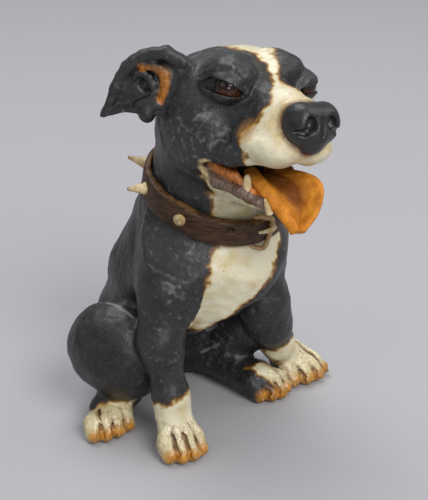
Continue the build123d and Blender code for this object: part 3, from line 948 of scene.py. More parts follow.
# %% Teeth
# Each tooth: root, belly and tip, then the radius at its root and at its tip.
teeth = [((-17.5, -50, -60), (-18.6, -49.8, -53), (-19.2, -49.4, -46.5), 3.6, 2.3),
         ((-8.5, -65.5, -70), (-11, -64.5, -64.5), (-13, -63.5, -59.5), 2.5, 1.2)]
tooth_rows, tooth_columns = 14, 16
tooth_facing = (0, 1, 0)
tooth_cap, tooth_cap_power = 1.02, 8


def tooth_rings(root, belly, tip, root_radius, tip_radius):
    share = np.linspace(0, 1, tooth_rows)
    cap = np.sqrt(np.clip(1 - (share / tooth_cap) ** tooth_cap_power, 0, 1))
    radius = (root_radius + (tip_radius - root_radius) * share) * cap
    return round_rings(smooth_line([root, belly, tip], tooth_rows), radius, tooth_columns, tooth_facing)


tooth_points, tooth_faces = [], []
for tooth in teeth:
    points, polygons = ring_loft(tooth_rings(*tooth))
    shift = sum(len(done) for done in tooth_points)
    tooth_points.append(points)
    tooth_faces += [[v + shift for v in polygon] for polygon in polygons]
tooth_points = from_head(np.concatenate(tooth_points))
pieces["lower_teeth"] = outward(mesh_object("lower_teeth_clay", tooth_points, tooth_faces))
print("teeth:", len(teeth))

# %% [markdown]
# Each eye is a ball of clay under a thick gloss. It sits behind the slit that the lids leave, so a whole
# ball is simpler than a cut one. The height on the ball is stored for the finish, which is darker on top.

# %% Eyes
eye_radius = 9.6
eye_rows, eye_columns = 32, 48
pole_gap = 0.02
eye_shift = {"right_eye": (1, 0.5, 0.1), "left_eye": (1.5, 0.5, 0.1)}


def ball_rings(middle, radius):
    rise = np.linspace(pole_gap, math.pi - pole_gap, eye_rows)[:, None]
    angle = np.linspace(0, 2 * math.pi, eye_columns, endpoint=False)[None]
    upright = np.cos(rise) + 0 * angle
    ring = np.stack([np.sin(rise) * np.cos(angle), np.sin(rise) * np.sin(angle), upright], -1)
    return spot(*middle) + ring * radius


eye_places = {}
for name, shift in eye_shift.items():
    eye_places[name] = node_middle(name) + head_axes @ spot(*shift)
    points, polygons = ring_loft(ball_rings(eye_places[name], eye_radius))
    pieces[name] = outward(mesh_object(name + "_ball", points, polygons))
    mark(pieces[name], "rise", (points - eye_places[name]) @ head_axes[:, 2] / eye_radius)
    print(name, eye_places[name].round(1))

# %% [markdown]
# The collar is a strip of clay wrapped round the neck. Its near end is rounded and lies on top, with one
# punched hole, and stops in the buckle. A grid is laid round the neck's oval and pushed out by the
# strip's thickness, so that hole and end are part of the surface. A Boolean cut could make the hole, but it
# would leave long thin faces round it.

# %% Collar strap
strap_thick = 4.5
strap_rows, strap_columns, inner_step = 27, 420, 9
strap_sink, inner_share = -0.6, 0.98
strap_end_thick, strap_end_angle, strap_end_edge, strap_end_lap = 1.3, 3, 1.2, 100
strap_hole_angle, strap_hole_rise, strap_hole_radius = 34, 4.5, 2.3
strap_hole_depth, strap_hole_edge = 3.2, 0.9
strap_edge_power, strap_least = 9, 0.2
neck_front = -neck_ahead
arc_of_degree = (neck_half_width + neck_half_depth) / 2 * math.pi / 180


def round_neck(angle, proud, rise):
    """A place near the collar, an angle in degrees from its front to the dog's right."""
    turn = np.radians(np.asarray(angle, float))[..., None]
    across, ahead = -np.sin(turn), np.cos(turn)
    oval = across * neck_across * neck_half_width + ahead * neck_front * neck_half_depth
    aim = unit(across * neck_across / neck_half_width + ahead * neck_front / neck_half_depth)
    off = aim * np.asarray(proud, float)[..., None] + neck_up * np.asarray(rise, float)[..., None]
    return neck_middle + oval + off, aim


def strap_rings():
    """Rings across the strap, the outside first and then a coarser inside."""
    half = strap_width / 2
    degrees = np.arange(strap_columns) * 360 / strap_columns
    angle, rise = np.meshgrid(degrees, np.linspace(-1, 1, strap_rows) * half, indexing="ij")
    arc = np.where(angle > 180, angle - 360, angle) * arc_of_degree
    end = strap_end_angle * arc_of_degree + half
    inside_end = np.minimum(half - np.hypot(np.minimum(arc - end, 0), rise), strap_end_lap - arc)
    lift = strap_end_thick * np.clip(inside_end / strap_end_edge + 0.5, 0, 1)
    hole = np.hypot(arc - strap_hole_angle * arc_of_degree, rise - strap_hole_rise)
    sink = strap_hole_depth * np.clip((strap_hole_radius - hole) / strap_hole_edge + 0.5, 0, 1)
    edge = strap_thick * (1 - np.abs(rise / half) ** strap_edge_power) ** 0.5
    # Slow waves over the face and along both edges, as in a strip that is cut by hand.
    wobble = 0.35 * np.sin(angle * 0.21) + 0.25 * np.sin(angle * 0.093 + rise * 0.35)
    drift = 0.5 * np.sin(np.radians(angle) * 5 + 1) + 0.35 * np.sin(np.radians(angle) * 11)
    proud = np.maximum(edge + (lift - sink + wobble) * (edge > 1), strap_least)
    outer, _ = round_neck(angle, proud, rise + drift)
    inner_angle = angle[:, ::inner_step]
    inner_rise = (rise * inner_share + drift)[:, ::inner_step]
    inner, _ = round_neck(inner_angle, np.full_like(inner_angle, strap_sink), inner_rise)
    return np.concatenate([outer, inner[:, ::-1]], 1)


strap_points, strap_faces = ring_loft(strap_rings(), closed=True)
pieces["collar_strap"] = outward(mesh_object("collar_strap_clay", strap_points, strap_faces))
mark(pieces["collar_strap"], "edge", np.abs((strap_points - neck_middle) @ neck_up) / (strap_width / 2))
print("strap faces", len(strap_faces))

# %% [markdown]
# The buckle is a squared ring of rolled clay with a prong over it. Its outline is a circle that is swelled
# towards an oblong, and one side of it is bent back into the strap. A bevelled curve would give a ring too,
# but the loft lets the thickness wander, as that of rolled clay does.

# %% Buckle frame and prong
buckle_half_width, buckle_half_height, buckle_rod = 5.5, 13.5, 1.8
buckle_shift = 5.5
buckle_square = 0.55
buckle_proud, buckle_front, buckle_bend = 0.6, 1.2, 9
frame_rows, frame_columns = 64, 16
buckle_middle, buckle_out = round_neck(0.0, strap_thick + buckle_proud, 0.0)
buckle_right = -neck_across


def squared(wave):
    """Swells a wave, so that a circle becomes a rounded oblong."""
    return np.sign(wave) * np.abs(wave) ** buckle_square


turns = np.linspace(0, 2 * math.pi, frame_rows, endpoint=False)
frame_x = buckle_half_width * squared(np.cos(turns))
frame_z = buckle_half_height * squared(np.sin(turns))
frame_out = buckle_front - buckle_bend * ((frame_x + buckle_half_width) / (2 * buckle_half_width)) ** 2
frame_line = buckle_middle + (frame_x + buckle_shift)[:, None] * buckle_right
frame_line = frame_line + frame_z[:, None] * neck_up + frame_out[:, None] * buckle_out
frame_radius = buckle_rod * (1 + 0.1 * np.sin(turns * 5) + 0.07 * np.sin(turns * 9))
frame_rings = round_rings(frame_line, frame_radius, frame_columns, buckle_out, closed=True)
frame_points, frame_faces = ring_loft(frame_rings, closed=True)
pieces["buckle_frame"] = outward(mesh_object("buckle_frame_clay", frame_points, frame_faces))
mark(pieces["buckle_frame"], "along", np.full(len(frame_points), 1.0))

prong_rise = 4.5
prong_rows, prong_columns = 24, 14
prong_root_radius, prong_tip_radius = 2.3, 1.0
prong_stops = [(-2, 1.6), (1, 3), (5, 3), (9, 2.6), (13, 1.6)]
prong_base = buckle_middle + neck_up * prong_rise
prong_line = [prong_base + buckle_right * x + buckle_out * out for x, out in prong_stops]
prong_line = smooth_line(prong_line, prong_rows)
prong_radius = np.linspace(prong_root_radius, prong_tip_radius, prong_rows)
prong_points, prong_faces = ring_loft(round_rings(prong_line, prong_radius, prong_columns, buckle_out))
pieces["buckle_prong"] = outward(mesh_object("buckle_prong_clay", prong_points, prong_faces))
print("buckle", buckle_middle.round(1))

# %% [markdown]
# Spikes and claws are the same thing at two sizes: a short horn of clay, thick at its root. One Geometry
# Nodes tree bends a curve, gives it a radius that shrinks to the tip, and puts a copy on each point of a
# mesh, along the direction stored there. Its inputs set length, thickness and droop. One horn could be
# copied by hand, but then each change would mean copying it again.

# %% Horns by Geometry Nodes
horn_inputs = {"Length": 0.01, "Root radius": 0.005, "Tip radius": 0.001, "Droop": 0.0, "Sides": 14}
horn_rings = 14
horn_knee, horn_ease = 0.6, 0.8


def horn_tree():
    tree = bpy.data.node_groups.new("horns", "GeometryNodeTree")
    face = tree.interface
    face.new_socket("Geometry", in_out="INPUT", socket_type="NodeSocketGeometry")
    for label, value in horn_inputs.items():
        kind = "NodeSocketInt" if label == "Sides" else "NodeSocketFloat"
        face.new_socket(label, in_out="INPUT", socket_type=kind).default_value = value
    face.new_socket("Finish", in_out="INPUT", socket_type="NodeSocketMaterial")
    face.new_socket("Geometry", in_out="OUTPUT", socket_type="NodeSocketGeometry")
    node, link = tree.nodes.new, tree.links.new
    given, result = node("NodeGroupInput"), node("NodeGroupOutput")
    bend = node("GeometryNodeCurveQuadraticBezier")
    bend.inputs["Resolution"].default_value = horn_rings
    bend.inputs["Start"].default_value = (0, 0, 0)
    knee_at = node("ShaderNodeMath")
    knee_at.operation = "MULTIPLY"
    knee_at.inputs[1].default_value = horn_knee
    link(given.outputs["Length"], knee_at.inputs[0])
    knee, tip = node("ShaderNodeCombineXYZ"), node("ShaderNodeCombineXYZ")
    link(knee_at.outputs[0], knee.inputs["Z"])
    link(given.outputs["Length"], tip.inputs["Z"])
    link(given.outputs["Droop"], tip.inputs["X"])
    link(knee.outputs[0], bend.inputs["Middle"])
    link(tip.outputs[0], bend.inputs["End"])
    along = node("GeometryNodeSplineParameter")
    ease = node("ShaderNodeMath")
    ease.operation = "POWER"
    ease.inputs[1].default_value = horn_ease
    link(along.outputs["Factor"], ease.inputs[0])
    taper = node("ShaderNodeMapRange")
    link(ease.outputs[0], taper.inputs["Value"])
    link(given.outputs["Root radius"], taper.inputs["To Min"])
    link(given.outputs["Tip radius"], taper.inputs["To Max"])
    shape = node("GeometryNodeSetCurveRadius")
    link(bend.outputs[0], shape.inputs["Curve"])
    link(taper.outputs[0], shape.inputs["Radius"])
    label_along = node("GeometryNodeStoreNamedAttribute")
    label_along.inputs["Name"].default_value = "along"
    link(shape.outputs[0], label_along.inputs["Geometry"])
    link(along.outputs["Factor"], label_along.inputs["Value"])
    circle = node("GeometryNodeCurvePrimitiveCircle")
    circle.inputs["Radius"].default_value = 1
    link(given.outputs["Sides"], circle.inputs["Resolution"])
    horn = node("GeometryNodeCurveToMesh")
    horn.inputs["Fill Caps"].default_value = True
    link(label_along.outputs[0], horn.inputs["Curve"])
    link(circle.outputs[0], horn.inputs["Profile Curve"])
    if "Scale" in horn.inputs:
        size = node("GeometryNodeInputRadius")
        link(size.outputs[0], horn.inputs["Scale"])
    aim = node("GeometryNodeInputNamedAttribute")
    aim.data_type = "FLOAT_VECTOR"
    aim.inputs["Name"].default_value = "aim"
    turn = node("FunctionNodeAlignRotationToVector")
    turn.axis = "Z"
    link(aim.outputs["Attribute"], turn.inputs["Vector"])
    spread = node("GeometryNodeInstanceOnPoints")
    link(given.outputs["Geometry"], spread.inputs["Points"])
    link(horn.outputs[0], spread.inputs["Instance"])
    link(turn.outputs[0], spread.inputs["Rotation"])
    real, paint = node("GeometryNodeRealizeInstances"), node("GeometryNodeSetMaterial")
    link(spread.outputs[0], real.inputs[0])
    link(real.outputs[0], paint.inputs["Geometry"])
    link(given.outputs["Finish"], paint.inputs["Material"])
    link(paint.outputs[0], result.inputs[0])
    return tree


horns = horn_tree()
print("horn tree's nodes:", len(horns.nodes))


def grow_horns(name, roots, aims, finish, **sizes):
    """A plain mesh of horns on the given places."""
    mesh = bpy.data.meshes.new(name + "_points")
    mesh.from_pydata((np.asarray(roots) * MM).tolist(), [], [])
    stored_aims = mesh.attributes.new("aim", "FLOAT_VECTOR", "POINT").data
    stored_aims.foreach_set("vector", np.asarray(aims, np.float32).ravel())
    holder = place_in_scene(name, mesh)
    growth = holder.modifiers.new("horns", "NODES")
    growth.node_group = horns
    named = {item.name: item.identifier for item in horns.interface.items_tree if item.in_out == "INPUT"}
    for label, value in sizes.items():
        growth[named[label.replace("_", " ")]] = value
    growth[named["Finish"]] = finish
    bpy.context.view_layer.update()
    grown = holder.evaluated_get(bpy.context.evaluated_depsgraph_get())
    plain = bpy.data.meshes.new_from_object(grown)
    holder.modifiers.remove(growth)
    holder.data = plain
    plain.polygons.foreach_set("use_smooth", [True] * len(plain.polygons))
    print(name, "horns", len(roots), "faces", len(plain.polygons))
    return outward(holder)


# %% [markdown]
# The figure was brushed with two glazes. Charcoal lies on most of it, and cream on the blaze, the muzzle,
# the bib and the feet. Where the two run together they burn to amber. So each vertex of a skin gets a
# number in millimetres, `cream`, above zero where cream lies, and the shader makes the border of it. An
# image texture could do this too, but it would need an unwrapped surface.

# %% Where the cream glaze lies
muzzle_rise = [-40, -33, -27, -25, -18, -10, -2, 5, 12]
muzzle_start = [-57, -57, -58, -52, -51, -55.5, -59, -58, -54]
blaze_at = [-60, -52, -43, -37, -26, -14, -2, 15]
blaze_right = [-15, -10, -4.5, -1, 3, 2, -3.5, -6]
blaze_left = [8, 3, 3.4, 5.5, 12, 16, 18, 20]
blaze_end, blaze_low = 24, -12
chin_at = [-65, -59, -48, -30, -20]
chin_rise = [-68, -66, -63, -61, -57]
chin_back = -14
throat_rise = -56
bib_outline = [(-30, 172), (-32.5, 160), (-41, 146), (-44.5, 126), (-50, 112), (-53, 100), (-44, 90),
               (-36, 86.5), (-30, 88), (-25, 98), (-18, 109), (-8, 120), (4, 130), (14, 143), (24, 150),
               (26, 172)]
bib_front = -60
sock_height = {"right_fore": 44, "left_fore": 50}
sock_side_lean, sock_front_lean, sock_front = 0.3, 0.2, -76
right_hind_start, right_hind_lean, right_hind_rise, right_hind_top = 4, 0.35, 10, 26
left_hind_start, left_hind_lean, left_hind_rise, left_hind_side = 6, 0.8, 12, 40
no_cream = -30.0


bib_rises = [rise for _, rise in bib_outline]
print("bib from", min(bib_rises), "to", max(bib_rises), "mm above the seat")


def head_cream(q):
    x, y, z = q.T
    muzzle = np.interp(z, muzzle_rise, muzzle_start) - y
    blaze = np.minimum(x - np.interp(y, blaze_at, blaze_right), np.interp(y, blaze_at, blaze_left) - x)
    blaze = np.minimum(np.minimum(blaze, blaze_end - y), z - blaze_low)
    return np.maximum(muzzle, blaze)


def jaw_cream(q):
    m = both_sides(q)
    under_lip = np.interp(m[:, 1], chin_at, chin_rise) - m[:, 2]
    return np.minimum(under_lip, chin_back - q[:, 1])


def bib_cream(p):
    return np.minimum(-edge_distance(p[:, [0, 2]], bib_outline), bib_front - p[:, 1])


def sock_cream(name, p):
    x, y, z = p.T
    for limb, height in sock_height.items():
        if name.startswith(limb):
            from_heel = x - paws[limb + "paw"]["heel"][0]
            return height - z + sock_side_lean * from_heel - sock_front_lean * (y - sock_front)
    side = name.split("_")[0]
    paw = paws[side + "_hind_paw"]
    along = (p - spot(*paw["heel"], 0)) @ toe_stops(paw)[0][3]
    if side == "right":
        front = along - right_hind_start - right_hind_lean * (z - right_hind_rise)
        return np.minimum(front, right_hind_top - z)
    return np.minimum(x - left_hind_side + left_hind_lean * (z - left_hind_rise), along - left_hind_start)


def cream_of(name, p):
    """Millimetres inside the cream glaze, below zero on the charcoal."""
    if name == "head":
        q = to_head(p)
        return np.where(q[:, 2] < throat_rise, jaw_cream(q), head_cream(q))
    if name == "lower_jaw":
        return jaw_cream(to_head(p))
    if name == "torso":
        return bib_cream(p)
    if name in limbs or name in paws:
        return sock_cream(name, p)
    return np.full(len(p), no_cream)


# %% [markdown]
# Some places carry a stain of their own: gums, lip, the fold of the ear, the corners of the eyes, the rim
# of the nose, and on the paws the ankle, the cuts and the toes' ends. Painted shade is laid the same way
# into the palate, the slit between the lids and the pit of the ear. Each has a colour and a strength that
# fades with the distance from its form, stored as one colour with alpha. They could be brushed on in
# Vertex Paint, but a formula follows its form when the form is moved.

# %% Stains and painted shade
gum_orange = (0.46, 0.15, 0.025)
lip_brown = (0.14, 0.085, 0.06)
palate_painted_shade = (0.03, 0.012, 0.008)
amber = (0.4, 0.18, 0.03)
ivory = (0.5, 0.38, 0.18)
burnt = (0.13, 0.055, 0.018)
golden = (0.5, 0.33, 0.1)
ear_ochre = (0.33, 0.11, 0.006)
ankle_cream = (0.62, 0.56, 0.38)
groove_brown = (0.2, 0.095, 0.03)
toe_amber = (0.42, 0.17, 0.014)
# Near black, for painted shade in the eye slits and the ear pits.
painted_shade_black = (0.012, 0.012, 0.013)
flew_amber_at, flew_amber_reach = (-28, -54, -15), 11
eye_corner, eye_corner_reach = (40, -12, 10), 4
palate_top = -33
ear_pit, ear_pit_reach = (24, 1.2, -1), 8
ear_fold_top, ear_fold_reach = 13, 4
ankle_low, ankle_reach = 22, 12
sock_inset, sock_reach = 3, 5
nail_back = 2
corner_fold = [(35, -27, -43, 0.3), (36.5, -19, -44, 0.9), (35, -16.5, -48, 1), (34, -20, -53, 0.8),
               (32, -27, -57, 0.4)]


def fade(distance, reach):
    """One up to a distance of zero, and nothing from the reach on."""
    return np.clip(1 - distance / reach, 0, 1)


def lay_stain_and_shade(stain_and_shade, colour, strength):
    """Brushes a colour over the stains and painted shade that are there."""
    strength = np.clip(strength, 0, 1)
    kept = stain_and_shade[:, 3] * (1 - strength)
    total = np.maximum(strength + kept, 1e-6)
    stain_and_shade[:, :3] = (spot(*colour) * strength[:, None] + stain_and_shade[:, :3] * kept[:, None]) / total[:, None]
    stain_and_shade[:, 3] = strength + kept


def apart(q, middle):
    return np.sqrt(((q - spot(*middle)) ** 2).sum(-1))


def head_stain_and_shade(stain_and_shade, p):
    q = to_head(p)
    m = both_sides(q)
    nose = nose_clay(p)
    lay_stain_and_shade(stain_and_shade, amber, 0.9 * fade(apart(q, flew_amber_at), flew_amber_reach))
    lay_stain_and_shade(stain_and_shade, golden, 0.45 * fade(nose - 1.5, 10))
    lay_stain_and_shade(stain_and_shade, burnt, 0.95 * fade(nose - 0.4, 3.6))
    # Painted shade in the roof of the mouth.
    lay_stain_and_shade(stain_and_shade, palate_painted_shade, fade(np.abs(palate(m)) - 1.2, 1.5) * (q[:, 2] < palate_top))
    # Painted shade in the slit between the lids.
    lay_stain_and_shade(stain_and_shade, painted_shade_black, fade(almond(m) - 0.3, 1.2))
    lay_stain_and_shade(stain_and_shade, burnt, 0.7 * fade(apart(m, eye_corner), eye_corner_reach))
    lay_stain_and_shade(stain_and_shade, ivory, fade(roll(m, corner_fold, 1) - 0.4, 1.5))


def jaw_stain(stain_and_shade, p):
    m = both_sides(to_head(p))
    lip, gum = coil(m, lower_lip), coil(m, lower_gum)
    inside = egg(m, (0, -46, -46), (24, 42, 15))
    lay_stain_and_shade(stain_and_shade, gum_orange, fade(np.minimum(gum, inside) - 0.6, 1.2))
    lay_stain_and_shade(stain_and_shade, lip_brown, fade(lip - 0.4, 1.0) * (lip < gum + 0.6))
    lay_stain_and_shade(stain_and_shade, ivory, fade(roll(m, corner_fold, 1) - 0.4, 1.5))


def ear_stain_and_shade(stain_and_shade, p, mirrored):
    flat = ear_plane(p, mirrored)
    on_fold = fade(ear_coil(flat, ear_fold, fold_proud) - 0.5, 1.2)
    lay_stain_and_shade(stain_and_shade, ear_ochre, 0.95 * on_fold * fade(flat[:, 1] - ear_fold_top, ear_fold_reach))
    # Painted shade in the pit of the ear.
    lay_stain_and_shade(stain_and_shade, painted_shade_black, fade(apart(flat, ear_pit), ear_pit_reach))


def paw_stain(stain_and_shade, p, paw, inside_sock):
    in_sock = np.clip((inside_sock - sock_inset) / sock_reach, 0, 1)
    lay_stain_and_shade(stain_and_shade, ankle_cream, 0.9 * fade(ankle_low - p[:, 2], ankle_reach) * in_sock)
    lay_stain_and_shade(stain_and_shade, groove_brown, 0.7 * fade(toe_grooves(p, paw) - 0.2, 1.7))
    for _, _, tip, ahead, _ in toe_stops(paw):
        nail = tip + ahead * (toe_radius - nail_back)
        lay_stain_and_shade(stain_and_shade, toe_amber, 0.95 * fade(apart(p, nail) - 3.5, 4.5))


def stain_and_shade_of(name, p):
    stain_and_shade = np.zeros((len(p), 4), np.float32)
    if name == "head":
        head_stain_and_shade(stain_and_shade, p)
    if name == "lower_jaw":
        jaw_stain(stain_and_shade, p)
    if name.endswith("ear"):
        ear_stain_and_shade(stain_and_shade, p, name == "left_ear")
    if name in paws:
        paw_stain(stain_and_shade, p, paws[name], sock_cream(name, p))
    return stain_and_shade


# %% [markdown]
# Glaze runs off edges and gathers in hollows. How hollow a place is can be read from the field: a step
# outward from a flat place is as far from the clay as the step is long, and in a hollow it is nearer.
# Handling has rubbed pale scuffs into the charcoal of the cheek and the shoulder, and a few scratches.
# Softer pale patches round the cheek, on the crown and between the legs are partly wear and partly painted
# light. The right thigh is painted darker, as painted shade on its side away from the light.

# %% Hollows, scuffs, painted light and painted shade
hollow_steps = (2.5, 6)
pace_step, least_pace = 0.5, 0.2
scuffs = [((-45, -95, 258), 15), ((-38, -106, 247), 15), ((-36, -107, 232), 11), ((-52, -87, 160), 22),
          ((-62, -78, 132), 16)]
# Soft patches, partly wear and partly painted light: a painted sheen on the brow and crown, and painted
# light between the legs and round the cheek.
soft_scuffs = [((24, -36, 40), 45), ((0, -70, 300), 45), ((-44, -84, 242), 42)]
soft_share = 0.6
# Painted shade: the right thigh's side that faces away from the light is painted darker.
painted_thigh_shade, painted_thigh_shade_reach = (-90, -24, 62), 55
scratches = [[(-67.2, -11.8, 97.5, 0.7), (-65.4, -24.8, 97.4, 0.8), (-64.4, -38.2, 93.7, 0.5)],
             [(21.1, -28.7, 48.9, 0.5), (24.8, -35.2, 54.5, 0.5)],
             [(19.1, -23.7, 27.7, 0.4), (23.7, -38.7, 38.7, 0.5)]]
scratch_strength, scratch_edge = 2.5, 1.2


def hollow_of(field, p, aims):
    shown = np.zeros(len(p), np.float32)
    pace = sample(field, p + aims * pace_step) - sample(field, p - aims * pace_step)
    pace = np.maximum(pace, least_pace)
    for step in hollow_steps:
        shown += 1 - sample(field, p + aims * step) / (step * pace)
    return np.clip(shown / len(hollow_steps), -1, 1)


def scuff_of(p):
    wear_and_light = np.zeros(len(p), np.float32)
    for middle, reach in scuffs:
        wear_and_light = np.maximum(wear_and_light, fade(apart(p, middle), reach))
    for middle, reach in soft_scuffs:
        wear_and_light = np.maximum(wear_and_light, soft_share * fade(apart(p, middle), reach))
    for line in scratches:
        wear_and_light = np.maximum(wear_and_light, scratch_strength * fade(roll(p, line, 1), scratch_edge))
    # The soft patches bring painted light; the right thigh's painted shade is taken off here.
    return wear_and_light - fade(apart(p, painted_thigh_shade), painted_thigh_shade_reach)


def vertex_places(piece, what="co"):
    numbers = np.empty(len(piece.data.vertices) * 3, np.float32)
    piece.data.vertices.foreach_get(what, numbers)
    return numbers.reshape(-1, 3)


for forms, skin in ((body_forms, body_skin), (head_forms, head_skin)):
    for name in forms:
        places = vertex_places(pieces[name]) / MM
        mark(pieces[name], "cream", cream_of(name, places))
        mark(pieces[name], "stain_and_shade", stain_and_shade_of(name, places))
        mark(pieces[name], "hollow", hollow_of(skin, places, vertex_places(pieces[name], "normal")))
        mark(pieces[name], "scuff", scuff_of(places))
print("painted", len(body_forms) + len(head_forms), "skin pieces")

# %% [markdown]
# The shaders are short chains of nodes, so a few helpers keep them readable: each adds a node or a few and
# takes either a number or another node's output for an input.

# %% Helpers for shaders
def new_finish(name):
    finish = bpy.data.materials.new(name)
    finish.use_nodes = True
    return finish.node_tree, finish.node_tree.nodes["Principled BSDF"], finish


def wire(tree, value, socket):
    if isinstance(value, bpy.types.NodeSocket):
        tree.links.new(value, socket)
    elif isinstance(value, tuple):
        socket.default_value = (*value, 1)
    else:
        socket.default_value = value


def calc(tree, operation, a, b=0.0):
    made = tree.nodes.new("ShaderNodeMath")
    made.operation = operation
    wire(tree, a, made.inputs[0])
    wire(tree, b, made.inputs[1])
    return made.outputs[0]


def add(tree, a, b):
    return calc(tree, "ADD", a, b)


def times(tree, a, b):
    return calc(tree, "MULTIPLY", a, b)


def remap(tree, value, low, high, to_low=0.0, to_high=1.0):
    made = tree.nodes.new("ShaderNodeMapRange")
    for number, given in enumerate((value, low, high, to_low, to_high)):
        wire(tree, given, made.inputs[number])
    return made.outputs[0]


def blend(tree, share, a, b):
    made = tree.nodes.new("ShaderNodeMix")
    made.data_type = "RGBA"
    wire(tree, share, made.inputs["Factor"])
    wire(tree, a, made.inputs[6])
    wire(tree, b, made.inputs[7])
    return made.outputs[2]


def noise(tree, grain, detail=3.0, stretch=(1, 1, 1)):
    """Noise with grains of a size in millimetres, longer where stretch is above one."""
    place = tree.nodes.new("ShaderNodeTexCoord")
    scale = tree.nodes.new("ShaderNodeVectorMath")
    scale.operation = "MULTIPLY"
    scale.inputs[1].default_value = [1 / (grain * MM * longer) for longer in stretch]
    tree.links.new(place.outputs["Object"], scale.inputs[0])
    made = tree.nodes.new("ShaderNodeTexNoise")
    made.inputs["Scale"].default_value = 1
    made.inputs["Detail"].default_value = detail
    tree.links.new(scale.outputs[0], made.inputs["Vector"])
    return made.outputs["Fac"]


def stored(tree, name, output="Fac"):
    made = tree.nodes.new("ShaderNodeAttribute")
    made.attribute_name = name
    return made.outputs[output]


def ramp(tree, value, stops):
    made = tree.nodes.new("ShaderNodeValToRGB")
    spread = made.color_ramp.elements
    while len(spread) < len(stops):
        spread.new(0.5)
    for element, (at, colour) in zip(spread, stops):
        element.position = at
        element.color = (*colour, 1)
    wire(tree, value, made.inputs[0])
    return made.outputs[0]


# %% [markdown]
# The finishes share three mixtures: two colours in patches, a coarse noise with a fine one, and the coat
# with its colour, roughness and shine. Bump gives relief that is too fine for the mesh.

# %% Mixtures for finishes
def mottle(tree, grain, detail, low, high, one, other):
    """Two colours in patches: one where the noise is low, the other where it is high."""
    return blend(tree, remap(tree, noise(tree, grain, detail), low, high), one, other)


def two_grains(tree, coarse, fine, share):
    """A coarse noise with a share of a fine one; each is a grain and its detail."""
    return add(tree, noise(tree, *coarse), times(tree, noise(tree, *fine), share))


def coat(tree, shader, colour, roughness, specular=0.5):
    """The values that every finish sets."""
    wire(tree, colour, shader.inputs["Base Color"])
    wire(tree, roughness, shader.inputs["Roughness"])
    wire(tree, specular, shader.inputs["Specular IOR Level"])


def bump(tree, shader, height, depth):
    made = tree.nodes.new("ShaderNodeBump")
    made.inputs["Distance"].default_value = depth * MM
    wire(tree, height, made.inputs["Height"])
    tree.links.new(made.outputs[0], shader.inputs["Normal"])


# %% [markdown]
# The glaze itself. Noise is added to the border's millimetres, so that it wanders as a brush does. A ramp
# over the sum goes from charcoal through burnt brown and amber to cream. Hollows darken; scuffs, edges and
# patches of painted light go pale on the charcoal, and painted shade darkens the right thigh. Brown specks
# sit in the cream. Stains and painted shade lie over both, in streaks.

# %% The two glazes
charcoal_dark, charcoal_light = (0.006, 0.006, 0.006), (0.021, 0.0215, 0.0215)
brushed_grey, scuff_grey = (0.055, 0.056, 0.056), (0.17, 0.17, 0.165)
cream_light, cream_warm = (0.64, 0.59, 0.43), (0.52, 0.42, 0.2)
paw_light, paw_warm = (0.54, 0.46, 0.25), (0.36, 0.22, 0.05)
speck_brown = (0.22, 0.11, 0.03)
border_reach, border_wander = 6, 14.0
border_colours = [(0.25, (0.012, 0.01, 0.009)), (0.42, (0.04, 0.018, 0.007)), (0.56, (0.2, 0.095, 0.02)),
                  (0.68, (0.44, 0.3, 0.09))]
border_cream_at = 0.84
wear_and_light_share, bare_and_lit_share = 0.3, 4.4
charcoal_roughness, cream_roughness = 0.42, 0.3


def charcoal_coat(tree, hollow):
    """Brushed charcoal, grey where it is worn and where light is painted on, darker where shade is painted
    on the right thigh, and black in hollows.
    """
    # This mark holds wear and painted light, and below zero the painted shade of the right thigh.
    wear_and_light = times(tree, stored(tree, "scuff"), wear_and_light_share)
    patches = remap(tree, add(tree, noise(tree, 22, 5), wear_and_light), 0.3, 0.7)
    charcoal = blend(tree, patches, charcoal_dark, charcoal_light)
    brushed = remap(tree, noise(tree, 3, 8), 0.45, 0.8)
    charcoal = blend(tree, times(tree, brushed, 0.4), charcoal, brushed_grey)
    bare_and_lit = times(tree, calc(tree, "MAXIMUM", wear_and_light, 0.0), bare_and_lit_share)
    # Painted shade on the right thigh darkens the charcoal and keeps grey flecks off it.
    painted_thigh_shade_part = times(tree, calc(tree, "MINIMUM", wear_and_light, 0.0), 0.4)
    rubbed_and_lit = add(tree, times(tree, bare_and_lit, wear_and_light), times(tree, hollow, -0.25))
    flecks = add(tree, noise(tree, 4, 9), add(tree, rubbed_and_lit, painted_thigh_shade_part))
    charcoal = blend(tree, remap(tree, flecks, 0.6, 0.85, 0.0, 0.8), charcoal, scuff_grey)
    return blend(tree, remap(tree, hollow, 0.15, 0.7, 0.0, 0.8), charcoal, charcoal_dark)


def cream_coat(tree, hollow, light, warm):
    """Cream in warm and light patches, with brown specks and brown hollows."""
    cream = mottle(tree, 12, 4, 0.45, 0.75, light, warm)
    specks = remap(tree, noise(tree, 1.6, 2), 0.66, 0.74, 0.0, 0.7)
    cream = blend(tree, specks, cream, speck_brown)
    return blend(tree, remap(tree, hollow, 0.12, 0.5, 0.0, 0.75), cream, groove_brown)


def streaky_stain_and_shade(tree):
    """The stored stains and painted shade, lighter and darker in upright streaks."""
    streaks = remap(tree, noise(tree, 1.5, 3, (1, 1, 4)), 0.3, 0.7, 0.55, 1.45)
    tint = tree.nodes.new("ShaderNodeCombineColor")
    for channel in range(3):
        tree.links.new(streaks, tint.inputs[channel])
    streaky = blend(tree, 1.0, stored(tree, "stain_and_shade", "Color"), tint.outputs[0])
    streaky.node.blend_type = "MULTIPLY"
    return streaky


